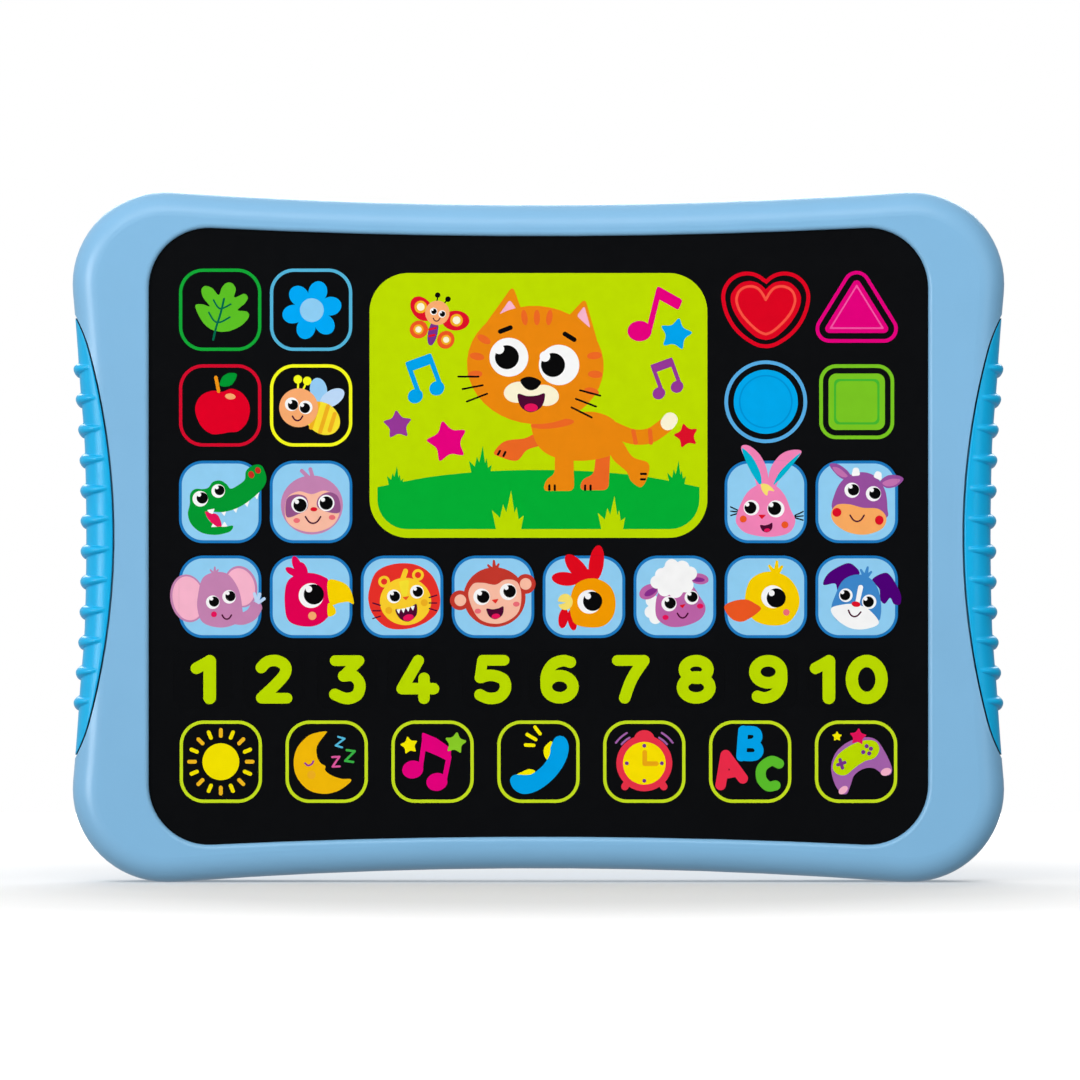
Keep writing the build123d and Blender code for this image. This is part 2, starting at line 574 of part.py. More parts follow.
def switch_body():
    """The slide switch's can, on the back of the board."""
    can = block(SWITCH_CENTRE, (15.0, 6.4), BOARD_BACK - 4.6, BOARD_BACK)
    slot = block(SWITCH_CENTRE, (9.0, 2.0), BOARD_BACK - 6, BOARD_BACK - 2.0)
    return fillet(can.edges().filter_by(Axis.Z), 0.5) - slot


def switch_slider():
    """The slider at its off end: the nub outside, a skirt under the wall and the stem into the switch."""
    centre = (SWITCH_CENTRE[0] - SWITCH_TRAVEL / 2, SWITCH_CENTRE[1])
    wall_inside = BACK + WALL
    skirt = block(centre, (SWITCH_SLOT[0] + 3, SWITCH_SLOT[1] + 3), wall_inside + 0.1, wall_inside + 1.1)
    nub = block(centre, SWITCH_NUB, BACK + 0.1, wall_inside + 0.5)
    nub = fillet(nub.edges().group_by(Axis.Z)[0], 0.3)
    for i in (-1, 0, 1):
        nub -= block((centre[0] + 1.3 * i, centre[1]), (0.5, 3.2), BACK, BACK + 0.5)
    stem = block(centre, (1.6, 1.6), wall_inside + 1.0, BOARD_BACK - 3.0)
    return skirt + nub + stem


def speaker_frame():
    """Basket and magnet: a flange, a stepped cone of pressed steel and the magnet pot."""
    low = SPEAKER_FACE
    flange = disc((0, 0), SPEAKER_RADIUS, low, low + 1.0) - disc((0, 0), 17.6, low - 1, low + 2)
    wall = Pos(0, 0, low + 3.3) * (Cone(18.4, 11.4, 5.0) - Pos(0, 0, -0.5) * Cone(17.4, 10.4, 5.2))
    rear = disc((0, 0), 11.6, low + 5.6, low + 6.6)
    magnet = disc((0, 0), 10.5, low + 6.4, low + 11.0)
    magnet = fillet(magnet.edges().group_by(Axis.Z)[-1], 0.6)
    return Pos(*SPEAKER_CENTRE, 0) * (flange + wall + rear + magnet)


def speaker_cone():
    """Rolled surround, cone and dust cap, clear of the basket."""
    low = SPEAKER_FACE
    rim = disc((0, 0), 17.6, low, low + 0.7) - disc((0, 0), 14.9, low - 1, low + 2)
    surround = Pos(0, 0, low + 1.2) * (Torus(14.2, 1.1) - Torus(14.2, 0.7))
    surround &= disc((0, 0), 30, low, low + 1.5)
    paper = Pos(0, 0, low + 2.6) * (Cone(14.3, 7.0, 2.4) - Pos(0, 0, -0.45) * Cone(14.3, 7.0, 2.4))
    cap = Pos(0, 0, low + 8.6) * (Sphere(9.0) - Sphere(8.6)) & disc((0, 0), 6.3, low, low + 2.6)
    return joined([Pos(*SPEAKER_CENTRE, 0) * piece for piece in (rim, surround, paper, cap)])


def led_board():
    """A strip of board behind the window with two light-emitting diodes facing the picture."""
    board = block((0, WINDOW_CENTRE), (40, 11), PLATE_BACK - 1.3, PLATE_BACK - 0.1)
    for s in (-1, 1):
        lamp = disc((s * LED_X, WINDOW_CENTRE), 2.5, PLATE_BACK - 0.4, PLATE_TOP + 0.2)
        board += fillet(lamp.edges().group_by(Axis.Z)[-1], 1.9)
    return board


def leads():
    """The insulated wires, each a tube along straight runs joined by arcs."""
    shelf = BOARD_FRONT + LEAD_RADIUS + 0.1
    routes = [
        [(-25.2, 71.4, 3.2), (-29.5, 74.5, 2.2), (-34, 83, 1.2), (-43, 90, shelf)],
        [(25.2, 71.4, 3.2), (22, 77, 2.4), (4, 84, 1.4), (-14, 93, 1.0), (-31, 95.5, shelf), (-42, 96.5, shelf)],
        [(46, 112, -2.2), (36, 106, -1.2), (19, 104, 0.4), (-1, 102, 1.0), (-20, 101.5, 0.8),
         (-34, 104, shelf), (-43, 107, shelf)],
        [(46, 132, -2.2), (35, 134, -1.2), (16, 133, 0.4), (-5, 134, 0.8), (-21, 131.5, 0.6),
         (-32.5, 124, shelf), (-42, 119, shelf)],
    ]
    return joined([lead(route) for route in routes])


def lead(route):
    points = [Vector(p) for p in route]
    runs = [points[i + 1] - points[i] for i in range(len(points) - 1)]
    radii = []
    for before, after in zip(runs, runs[1:]):
        half_turn = before.get_angle(after) / 2
        radii.append(0.45 * min(before.length, after.length) / tan_degrees(half_turn))
    path = FilletPolyline(*points, radius=radii)
    start = Plane(origin=points[0], z_dir=runs[0])
    return sweep(start * Circle(LEAD_RADIUS), path=path)


def tan_degrees(angle):
    return Vector(1, 0).rotate(Axis.Z, angle).Y / Vector(1, 0).rotate(Axis.Z, angle).X


# ---- assembly --------------------------------------------------------------------------------------
def stand_up(piece):
    """From the drawing frame to the part's frame: the face looks along -Y and the tablet stands on z = 0."""
    return Rot(90, 0, 0) * piece


def write(name, piece):
    export_step(stand_up(piece), f"parts/{name}.step")


os.makedirs("parts", exist_ok=True)
SHELL = case_shell(inset_body(0))
PLANS = key_plans()

write("front_housing", front_housing(SHELL))
write("rear_housing", rear_housing(SHELL))
LEFT_GRIP = grip()
write("grip_left", LEFT_GRIP)
write("grip_right", mirror(LEFT_GRIP, about=Plane.YZ))
write("front_panel", front_panel(PLANS))
for key_name, key_centre, key_shape in PLANS:
    write(f"key_{key_name}", key(key_centre, key_shape))
write("picture_window", picture_window())
write("key_spacer", keypad_sheet(FILM_TOP + 0.05, SPACER_TOP, PLANS, SPACER_HOLE))
write("contact_film", contact_film(PLANS))
write("backing_plate", backing_plate())
write("screws", screws())
write("battery_door", battery_door())
write("door_screw_left", door_screw(-1))
write("door_screw_right", door_screw(1))
write("battery_cells", battery_cells())
write("battery_contacts", battery_contacts())
write("main_board", main_board())
write("board_parts", board_parts())
write("switch_body", switch_body())
write("switch_slider", switch_slider())
write("speaker_frame", speaker_frame())
write("speaker_cone", speaker_cone())
write("led_board", led_board())
write("wire_leads", leads())
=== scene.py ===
"""Finishes the toy learning tablet: printed films for the keys, panel and window, the ribbed grips,
materials for every part, a pale floor, soft light and the camera.

Lengths in the artwork are millimetres, measured from the middle of the key or window they belong to,
x to the right and y up. The films' and the grips' sizes are millimetres too; the room, the lights and
the camera are placed in metres, in the part's own frame.
"""

from math import atan2, cos, hypot, pi, radians, sin, sqrt, tan

import bpy
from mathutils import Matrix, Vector
from mathutils.geometry import delaunay_2d_cdt


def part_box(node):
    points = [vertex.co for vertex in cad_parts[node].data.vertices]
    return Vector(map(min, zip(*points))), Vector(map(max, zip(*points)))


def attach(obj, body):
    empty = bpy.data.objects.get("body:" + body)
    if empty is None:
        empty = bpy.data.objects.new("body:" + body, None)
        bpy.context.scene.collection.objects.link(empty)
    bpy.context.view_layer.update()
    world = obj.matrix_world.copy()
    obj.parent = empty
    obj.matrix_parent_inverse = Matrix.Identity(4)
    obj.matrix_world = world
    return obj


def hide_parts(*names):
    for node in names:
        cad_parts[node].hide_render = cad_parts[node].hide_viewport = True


MM = 0.001
KEY_GAP, FILM_OVERHANG = 0.12, 0.1    # slit around each key, and how far its film reaches over it
FILM_PROUD, FILM_SUNK = 0.05, 0.03    # the films' face above, and their edge below, what they lie on
WINDOW_OVERLAP = 0.25                 # how far the window's print reaches over the panel round it
PRINT_DEPTH = 0.955                   # an ink's brightness in print, as a share of the one listed
SAME_POINT = 1e-4                     # outline points nearer than this are one

# ---- inks, as display colours from 0 to 255 ----
INKS = {
    "black": (12, 13, 15),
    "ink": (8, 8, 9),
    "white": (250, 250, 250),
    "tile": (146, 208, 244),
    "tile_edge": (28, 120, 190),
    "lime": (190, 221, 0),
    "lime_ring": (200, 226, 33),
    "meadow": (2, 175, 51),
    "leaf": (92, 192, 36),
    "leaf_ring": (18, 166, 54),
    "leaf_vein": (0, 104, 72),
    "petal": (0, 168, 245),
    "petal_heart": (142, 206, 244),
    "petal_ring": (84, 180, 217),
    "apple": (226, 0, 36),
    "apple_ring": (212, 10, 43),
    "stem": (242, 150, 20),
    "leaf_dark": (0, 150, 48),
    "peach": (250, 172, 112),
    "peach_light": (252, 190, 165),
    "bee_ring": (247, 250, 30),
    "bee_yellow": (250, 226, 48),
    "amber": (243, 178, 34),
    "wing": (150, 204, 244),
    "wing_light": (190, 218, 248),
    "crocodile": (2, 152, 48),
    "nostril": (196, 44, 34),
    "red": (222, 16, 40),
    "tongue": (230, 20, 90),
    "mauve": (198, 132, 178),
    "mauve_dark": (150, 84, 138),
    "pink": (250, 182, 206),
    "blush": (240, 110, 120),
    "crimson": (228, 0, 82),
    "beak": (252, 212, 0),
    "mane": (232, 48, 40),
    "lion": (254, 208, 44),
    "mouth": (76, 10, 48),
    "monkey": (196, 56, 44),
    "rooster": (246, 156, 0),
    "comb": (226, 8, 28),
    "straw": (250, 226, 110),
    "sheep_face": (190, 100, 168),
    "sheep_ear": (136, 46, 140),
    "rabbit": (244, 132, 184),
    "teal": (0, 178, 206),
    "cow": (152, 80, 158),
    "cow_ear": (196, 114, 176),
    "muzzle": (252, 172, 98),
    "duck": (250, 208, 0),
    "duck_bill": (238, 88, 34),
    "dog": (62, 136, 204),
    "dog_ear": (78, 0, 118),
    "heart": (222, 4, 32),
    "heart_line": (250, 84, 66),
    "triangle": (228, 0, 124),
    "triangle_line": (246, 88, 168),
    "circle": (0, 168, 236),
    "circle_line": (0, 146, 216),
    "circle_ring": (88, 172, 228),
    "square": (122, 198, 34),
    "square_line": (66, 182, 48),
    "sun": (248, 230, 0),
    "ray": (244, 186, 30),
    "moon": (246, 188, 8),
    "purple": (150, 56, 150),
    "plum": (120, 50, 140),
    "sleep_blue": (84, 186, 222),
    "sleep_green": (60, 184, 72),
    "sleep_pink": (226, 92, 160),
    "note": (232, 0, 126),
    "star_green": (140, 206, 40),
    "star_yellow": (252, 240, 0),
    "sky": (0, 164, 236),
    "clock": (236, 50, 72),
    "clock_face": (254, 228, 0),
    "clock_hand": (240, 170, 20),
    "violet": (166, 100, 172),
    "letter_a": (240, 44, 74),
    "letter_c": (92, 192, 44),
    "cat": (236, 136, 14),
    "cat_dark": (238, 104, 36),
    "cream": (254, 246, 214),
}


# ---- plane shapes: each gives one closed outline ----
def oval(x, y, rx, ry=None, turn=0.0, count=40):
    """An ellipse, or a circle where only one radius is given."""
    ry = rx if ry is None else ry
    c, s = cos(radians(turn)), sin(radians(turn))
    outline = []
    for i in range(count):
        a = 2 * pi * i / count
        px, py = rx * cos(a), ry * sin(a)
        outline.append((x + px * c - py * s, y + px * s + py * c))
    return outline


def box(x, y, width, height, radius, turn=0.0):
    """A rounded rectangle about its middle."""
    c, s = cos(radians(turn)), sin(radians(turn))
    outline = []
    for quarter, (sx, sy) in enumerate(((1, 1), (-1, 1), (-1, -1), (1, -1))):
        for i in range(9):
            a = (quarter + i / 8) * pi / 2
            px = sx * (width / 2 - radius) + radius * cos(a)
            py = sy * (height / 2 - radius) + radius * sin(a)
            outline.append((x + px * c - py * s, y + px * s + py * c))
    return outline


def bar(x0, y0, x1, y1, width, width_end=None):
    """A straight stroke with round ends."""
    r0 = width / 2
    r1 = r0 if width_end is None else width_end / 2
    a = atan2(y1 - y0, x1 - x0)
    outline = []
    for i in range(11):
        b = a + pi / 2 + pi * i / 10
        outline.append((x0 + r0 * cos(b), y0 + r0 * sin(b)))
    for i in range(11):
        b = a - pi / 2 + pi * i / 10
        outline.append((x1 + r1 * cos(b), y1 + r1 * sin(b)))
    return outline


def through(points, closed, steps=7):
    """A smooth curve through the points."""
    count = len(points)
    curve = []
    for i in range(count if closed else count - 1):
        if closed:
            p = [points[(i + k - 1) % count] for k in range(4)]
        else:
            p = [points[min(max(i + k - 1, 0), count - 1)] for k in range(4)]
        for j in range(steps):
            t = j / steps
            weights = (
                (-t + 2 * t**2 - t**3) / 2,
                (2 - 5 * t**2 + 3 * t**3) / 2,
                (t + 4 * t**2 - 3 * t**3) / 2,
                (-(t**2) + t**3) / 2,
            )
            curve.append(tuple(sum(w * q[axis] for w, q in zip(weights, p)) for axis in (0, 1)))
    if not closed:
        curve.append(tuple(points[-1]))
    return curve


def blob(*points):
    """A smooth closed outline through the points."""
    return through(points, closed=True)


def stroke(points, width, smooth=True):
    """A bent stroke with round ends, as short overlapping bars."""
    path = through(points, closed=False, steps=5) if smooth else points
    return [bar(*a, *b, width) for a, b in zip(path, path[1:])]


def soft(points, radius):
    """A polygon with every corner rounded."""
    outline = []
    count = len(points)
    for i in range(count):
        p, q, r = Vector(points[i - 1]), Vector(points[i]), Vector(points[(i + 1) % count])
        back, on = (p - q), (r - q)
        reach = min(radius, 0.45 * back.length, 0.45 * on.length)
        a, b = q + back.normalized() * reach, q + on.normalized() * reach
        for j in range(6):
            t = j / 5
            outline.append(tuple(a * (1 - t) ** 2 + q * 2 * t * (1 - t) + b * t**2))
    return outline


def star(x, y, reach, turn=0.0):
    """A plump five-pointed star with its first point up."""
    corners = []
    for i in range(10):
        r = reach if i % 2 == 0 else reach * 0.52
        a = radians(turn) + pi / 2 + pi * i / 5
        corners.append((x + r * cos(a), y + r * sin(a)))
    return soft(corners, 0.22 * reach)


def inset(points, distance):
    """The outline drawn in by a distance along its corners' bisectors."""
    points = anticlockwise(points)
    drawn_in = []
    count = len(points)
    for i in range(count):
        p, q, r = Vector(points[i - 1]), Vector(points[i]), Vector(points[(i + 1) % count])
        a, b = (q - p).normalized(), (r - q).normalized()
        na, nb = Vector((-a.y, a.x)), Vector((-b.y, b.x))
        step = (na + nb) / max(1 + na.dot(nb), 0.4)
        drawn_in.append(tuple(q + step * distance))
    return drawn_in


def steps_of(points):
    """Each point of a closed outline with the one after it."""
    return zip(points, points[1:] + points[:1])


def anticlockwise(points):
    """The outline without doubled points, in anticlockwise order."""
    clean = [p for p, q in steps_of(points) if hypot(p[0] - q[0], p[1] - q[1]) > SAME_POINT]
    area = sum(p[0] * q[1] - q[0] * p[1] for p, q in steps_of(clean))
    return clean if area > 0 else clean[::-1]


def moved(shapes, dx=0.0, dy=0.0, scale=1.0, turn=0.0):
    """Painted shapes turned, scaled and shifted together."""
    c, s = cos(radians(turn)) * scale, sin(radians(turn)) * scale
    return [([(dx + x * c - y * s, dy + x * s + y * c) for x, y in points], ink) for points, ink in shapes]


def paint(ink, *shapes):
    """Outlines in one ink; a stroke, which is a list of outlines, is taken apart."""
    painted = []
    for shape in shapes:
        outlines = shape if isinstance(shape[0], list) else [shape]
        painted += [(outline, ink) for outline in outlines]
    return painted


# ---- parts of pictures that repeat ----
def eye(x, y, size, look=(0.25, 0.0), pupil=0.68):
    """A round eye: its white, a pupil to one side and a glint."""
    px, py = x + look[0] * size, y + look[1] * size
    return (
        paint("white", oval(x, y, size))
        + paint("ink", oval(px, py, size * pupil * 1.1))
        + paint("white", oval(px - 0.4 * size, py + 0.42 * size, size * 0.26, count=18))
    )


def smile(x, y, width, ink="mouth", line=0.42, turn=0.0):
    half = width / 2
    curve = [(-half, 0.25 * half), (-0.55 * half, -0.4 * half), (0, -0.62 * half),
             (0.55 * half, -0.4 * half), (half, 0.25 * half)]
    return moved(paint(ink, stroke(curve, line)), x, y, turn=turn)


def laugh(x, y, width, turn=0.0):
    """An open mouth with its tongue."""
    w = width / 2
    mouth = blob((-w, 0.45 * w), (-0.3 * w, 0.34 * w), (0.4 * w, 0.4 * w), (w, 0.55 * w), (0.8 * w, -0.4 * w),
                 (0, -0.85 * w), (-0.75 * w, -0.45 * w))
    tongue = oval(0.02 * w, -0.5 * w, 0.5 * w, 0.3 * w)
    return moved(paint("mouth", mouth) + paint("tongue", tongue), x, y, turn=turn)


def tuft(x, y, size, ink, turn=0.0):
    """Three short locks standing up from one root."""
    locks = (
        bar(0, 0, 0.15 * size, size, 0.5 * size, 0.2 * size),
        bar(0, 0, -0.45 * size, 0.72 * size, 0.42 * size, 0.2 * size),
        bar(0, 0, 0.5 * size, 0.6 * size, 0.42 * size, 0.2 * size),
    )
    return moved(paint(ink, *locks), x, y, turn=turn)


def double_note(ink, slant=12.0):
    """Two joined quavers about 10 mm high."""
    beam = soft([(-3.7, 3.3), (3.7, 3.3), (3.7, 6.1), (-3.7, 6.1)], 0.4)
    stems = (bar(-3.1, -3.0, -3.1, 5.0, 1.3), bar(3.1, -3.0, 3.1, 5.0, 1.3))
    heads = (oval(-4.2, -3.4, 2.1, 1.9, 15), oval(2.0, -3.4, 2.1, 1.9, 15))
    return moved(paint(ink, beam, *stems, *heads), turn=slant)


def single_note(ink):
    stem = bar(0.9, -3.8, 0.9, 5.6, 1.3)
    flag = soft([(0.3, 6.6), (6.6, 4.9), (6.2, 2.4), (0.3, 4.0)], 0.6)
    return paint(ink, stem, flag, oval(-1.1, -4.2, 2.7, 2.3, 15))


# ---- key pictures, named as their keys ----
def leaf():
    plate = blob((-6.4, 0.9), (-4.6, -3.0), (-2.0, -5.2), (1.7, -5.6), (5.2, -4.2), (7.3, -2.0), (6.9, -0.5),
                 (4.5, -0.1), (6.2, 1.5), (7.1, 3.0), (6.2, 4.1), (3.7, 3.2), (4.0, 5.3), (3.1, 6.8),
                 (1.6, 6.9), (0.4, 5.6), (-0.4, 3.8), (-2.0, 5.5), (-3.8, 6.1), (-4.8, 5.2), (-4.4, 3.2),
                 (-2.7, 0.9), (-4.6, 1.4))
    veins = stroke([(1.0, 2.8), (0.1, -1.0), (-1.0, -4.4), (-1.8, -7.7)], 0.55)
    veins += stroke([(-1.7, 2.5), (-0.7, 0.8), (0.4, 0.3), (2.7, 1.4)], 0.45)
    veins += stroke([(-2.9, -0.7), (-1.6, -2.8), (0.0, -3.2), (2.5, -1.9)], 0.45)
    return paint("leaf", plate) + paint("leaf_vein", veins)


def flower():
    petals = [oval(0.2 + 4.9 * cos(radians(a)), -0.1 + 4.9 * sin(radians(a)), 2.8, 2.4, a)
              for a in range(12, 372, 60)]
    return paint("petal", oval(0.2, -0.1, 4.0), *petals) + paint("petal_heart", oval(0.2, -0.1, 3.05))


def apple():
    body = blob((-6.4, -1.6), (-5.9, 1.2), (-4.1, 3.1), (-1.6, 3.8), (0.5, 3.5), (3.0, 4.3), (5.6, 3.2),
                (7.3, 0.8), (7.6, -1.7), (6.8, -4.5), (4.7, -6.6), (2.3, -6.9), (0.2, -7.3), (-2.3, -7.3),
                (-4.9, -5.3))
    blade = blob((0.0, 5.1), (0.5, 7.2), (2.2, 8.3), (4.2, 8.1), (3.8, 6.4), (2.4, 5.0))
    return (paint("apple", body) + paint("leaf_dark", blade) + paint("stem", bar(-1.1, 7.2, -0.4, 3.7, 0.9))
            + paint("peach", oval(2.6, 2.3, 1.35, 0.75, -6)))


def bee():
    wings = paint("wing", oval(1.9, 4.0, 3.1, 2.2, 100)) + paint("wing_light", oval(5.4, 1.9, 3.5, 2.0, 32))
    body = paint("bee_yellow", oval(2.9, -3.3, 4.9, 3.9, -38))
    for x, y, reach in ((0.9, -2.6, 3.1), (3.3, -3.5, 3.3), (5.4, -4.3, 2.1)):
        body += paint("amber", bar(x - 0.3 * reach, y - reach, x + 0.32 * reach, y + reach, 1.05))
    feelers = paint("bee_ring", stroke([(-3.4, 4.0), (-3.3, 6.2)], 0.5),
                    stroke([(-2.1, 4.0), (-1.2, 5.9)], 0.5), oval(-3.4, 6.7, 1.1), oval(-1.0, 6.3, 1.1))
    face = paint("peach", oval(-3.2, -0.6, 5.0))
    return (wings + body + feelers + face + eye(-5.0, 0.3, 1.75, (0.2, -0.1))
            + eye(-1.4, -0.5, 1.75, (-0.1, -0.1)) + smile(-3.5, -3.1, 2.6))


def crocodile():
    head = blob((-8.3, -3.2), (-7.8, -0.6), (-7.7, 2.0), (-6.4, 3.3), (-4.4, 3.3), (-3.0, 3.7), (-1.9, 5.1),
                (0.0, 5.5), (1.6, 4.6), (2.7, 3.4), (4.6, 4.3), (6.3, 5.7), (6.6, 7.8), (7.9, 9.1),
                (9.5, 9.6), (10.9, 9.0), (11.9, 6.0), (11.0, 3.6), (8.6, 1.2), (5.0, -1.3), (0.9, -2.6),
                (-3.4, -2.6), (-3.1, -4.4), (-1.3, -6.0), (1.0, -6.4), (3.2, -6.1), (3.0, -7.2),
                (1.6, -8.0), (-1.4, -8.5), (-4.8, -7.9), (-7.3, -5.9))
    gum = blob((-4.1, -2.4), (-2.2, -2.9), (-0.6, -3.4), (0.4, -6.0), (-0.7, -6.6), (-2.6, -5.0))
    teeth = []
    for x, y, w in ((-2.4, -2.6, 1.0), (0.8, -2.6, 1.0), (3.8, -1.8, 0.9), (6.7, -0.3, 0.9), (9.2, 1.7, 0.9)):
        teeth.append(soft([(x - w, y + 0.5 * w), (x + w, y + 0.9 * w), (x + 0.3, y - 1.1)], 0.3))
    teeth += [soft([(x - 0.9, -6.5), (x + 0.9, -6.4), (x, -5.0)], 0.3) for x in (-1.5, 1.1)]
    return (paint("white", *teeth) + paint("tongue", gum) + paint("crocodile", head)
            + paint("white", teeth[0], teeth[5]) + moved(paint("tongue", gum), -0.2, -0.4, 0.9)
            + paint("nostril", oval(8.0, 7.0, 0.75, 0.95, 20), oval(9.7, 8.1, 0.7, 0.85, 20))
            + eye(-5.1, 0.8, 2.0, (0.25, 0.1), 0.66) + eye(-0.5, 2.8, 1.75, (0.2, 0.1), 0.66))


def sloth():
    face = paint("mauve", stroke([(-0.8, 6.4), (-2.4, 8.0)], 1.0), stroke([(0.4, 6.4), (-0.2, 8.4)], 1.0),
                 oval(0.2, -0.8, 8.0, 7.6))
    face += paint("peach_light", blob((-6.6, -3.9), (-6.2, 0.9), (-3.2, 2.7), (0.2, 2.0), (3.6, 2.9),
                                      (6.7, 1.0), (7.2, -3.2), (5.0, -6.4), (0.3, -7.8), (-4.4, -6.6)))
    face += paint("mauve_dark", blob((-6.3, -3.8), (-6.3, 0.6), (-4.0, 1.9), (-1.3, 1.2), (-0.9, -1.6),
                                     (-3.4, -3.2)),
                  blob((2.0, 1.2), (4.6, 2.5), (7.0, 1.2), (7.4, -2.6), (4.2, -2.6), (1.6, -1.2)))
    face += eye(-3.0, -0.7, 2.1, (0.08, -0.08), 0.74) + eye(3.9, -0.3, 2.1, (0.0, 0.0), 0.74)
    face += paint("red", oval(0.7, -1.9, 0.9, 0.55))
    face += paint("blush", oval(-3.7, -4.8, 0.85, 0.65), oval(5.4, -4.0, 0.85, 0.65))
    return face + smile(0.5, -4.3, 3.9)


def elephant():
    ears = paint("mauve", oval(-8.3, -0.4, 4.5, 6.2, 10), oval(5.3, 2.6, 4.2, 5.4, 14))
    ears += paint("pink", oval(-8.2, -0.4, 4.0, 5.7, 10), oval(5.2, 2.5, 3.7, 4.9, 14))
    trunk = paint("mauve", stroke([(3.4, -5.4), (5.8, -5.6), (8.0, -4.6), (9.2, -2.8)], 3.2))
    head = paint("mauve", blob((-5.7, 0.4), (-4.5, 4.8), (-1.4, 6.3), (2.0, 5.8), (4.6, 2.2), (5.6, -2.2),
                               (5.4, -6.0), (0.8, -7.9), (-4.2, -6.8), (-5.8, -3.4)))
    head += tuft(-1.4, 5.6, 2.0, "mauve", 8)
    jets = ([(9.4, -1.2), (8.8, 0.8)], [(9.6, -1.2), (10.2, 0.7)], [(9.9, -1.5), (11.3, -0.5)])
    spray = paint("wing_light", *[stroke(jet, 0.8) for jet in jets])
    return (ears + trunk + head + spray + eye(-1.9, -1.4, 1.75, (0.2, 0.1)) + eye(2.3, 0.0, 1.75, (0.2, 0.1))
            + paint("tongue", oval(-1.6, -4.5, 0.75)) + smile(1.7, -5.0, 2.4))


def parrot():
    crest = [oval(-3.6, 8.1, 2.5, 1.1, 112), oval(-4.8, 6.4, 2.0, 0.9, 150), oval(-2.2, 6.6, 2.4, 1.3, 105)]
    head = blob((-6.8, 0.2), (-6.0, 4.0), (-3.2, 5.9), (0.2, 6.1), (3.2, 5.2), (4.6, 3.6), (4.8, -3.4),
                (3.6, -6.0), (0.4, -7.6), (-4.0, -7.2), (-6.3, -5.2))
    bill = blob((4.3, 4.0), (7.4, 4.0), (9.9, 2.2), (11.0, -1.7), (9.4, -1.3), (7.2, -1.6), (4.9, -1.8))
    low_bill = blob((4.4, -1.7), (6.0, -2.7), (6.3, -4.3), (4.4, -5.0))
    return (paint("crimson", *crest, head) + paint("beak", bill, low_bill)
            + eye(0.0, 0.3, 3.2, (0.22, 0.1), 0.74) + paint("peach", oval(0.3, -4.9, 1.05)))


def lion():
    picture = paint("mane", blob((-8.4, 2.0), (-6.6, 6.4), (-2.2, 8.4), (3.4, 8.3), (7.6, 5.6), (9.6, 1.0),
                                 (9.4, -3.4), (6.4, -6.4), (1.6, -8.2), (-3.6, -8.0), (-7.2, -5.0),
                                 (-8.6, -1.4)))
    for x, y in ((-4.6, 3.9), (4.1, 5.6)):
        picture += paint("lion", oval(x, y, 1.5)) + paint("mane", oval(x, y, 0.8))
    picture += paint("lion", oval(0.9, -1.2, 6.6, 6.1), stroke([(0.2, 4.6), (0.9, 6.6)], 1.3))
    picture += paint("bee_yellow", soft([(-0.8, 4.0), (1.8, 4.4), (1.5, 0.6), (0.6, -0.2), (-0.2, 0.8)], 0.6))
    picture += eye(-2.1, 0.1, 1.75, (0.15, 0.0)) + eye(3.8, 1.3, 1.75, (0.15, 0.0))
    picture += paint("duck_bill", soft([(0.1, -0.1), (1.9, 0.2), (1.0, -0.9)], 0.25))
    picture += paint("amber", oval(-3.4, -3.5, 0.9), oval(5.7, -1.5, 0.9)) + laugh(1.3, -4.0, 5.6, 12)
    picture += paint("white", *[soft([(x - 0.55, y), (x + 0.55, y + 0.2), (x + 0.1, y - 1.1)], 0.2)
                                for x, y in ((-0.9, -3.3), (0.3, -3.1), (1.5, -2.8), (2.7, -2.5))])
    for s, x, y in ((-1, -5.6, -3.6), (1, 7.0, -1.6)):
        picture += paint("mouth", *[bar(x, y + 1.4 * k, x + s * 1.9, y + 2.0 * k, 0.34) for k in (-1, 0, 1)])
    return picture


def monkey():
    picture = paint("monkey", oval(-8.5, -0.9, 2.55), oval(8.4, 3.3, 2.55), oval(0.4, -0.1, 8.0, 7.7))
    picture += paint("peach_light", oval(-8.4, -0.9, 1.5), oval(8.4, 3.3, 1.5))
    picture += tuft(0.4, 6.4, 2.8, "monkey", 12)
    picture += paint("peach_light", blob((-6.3, 0.0), (-5.2, 3.2), (-2.6, 3.6), (0.6, 3.1), (3.2, 4.4),
                                         (6.2, 3.8), (7.3, 0.2), (6.2, -4.4), (1.6, -6.9), (-3.6, -5.6)))
    picture += eye(-2.9, 0.0, 2.15, (0.18, 0.0)) + eye(3.9, 1.3, 2.15, (0.18, 0.05))
    picture += paint("mane", soft([(-0.4, -0.8), (1.5, -0.5), (0.7, -1.8)], 0.3))
    picture += paint("blush", oval(-3.9, -3.7, 0.85, 0.65), oval(6.0, -1.9, 0.85, 0.65))
    return picture + laugh(0.6, -3.9, 4.4, 5)


def rooster():
    picture = paint("comb", oval(-4.8, 4.6, 3.5, 1.75, -6), oval(-1.6, 7.2, 4.6, 2.0, 130),
                    oval(3.2, 8.6, 4.7, 1.9, 82), oval(0.6, 4.8, 3.4, 2.2, 20))
    picture += paint("comb", oval(-5.3, -5.5, 1.25, 2.6, -8), oval(-3.0, -6.0, 1.15, 2.7, 10))
    picture += paint("rooster", blob((-3.5, -0.6), (-2.4, 2.8), (0.4, 4.5), (3.8, 4.5), (6.8, 2.6),
                                     (8.1, -0.8), (7.6, -4.8), (5.2, -7.4), (1.6, -7.9), (-2.2, -7.0),
                                     (-3.5, -4.0)))
    picture += paint("straw", oval(-4.8, -1.3, 1.9, 2.1))
    picture += paint("tile", soft([(-8, -1.0), (-4.6, -1.5), (-8, -2.4)], 0.3))
    return picture + eye(1.4, -1.3, 3.05, (0.28, 0.05), 0.74)


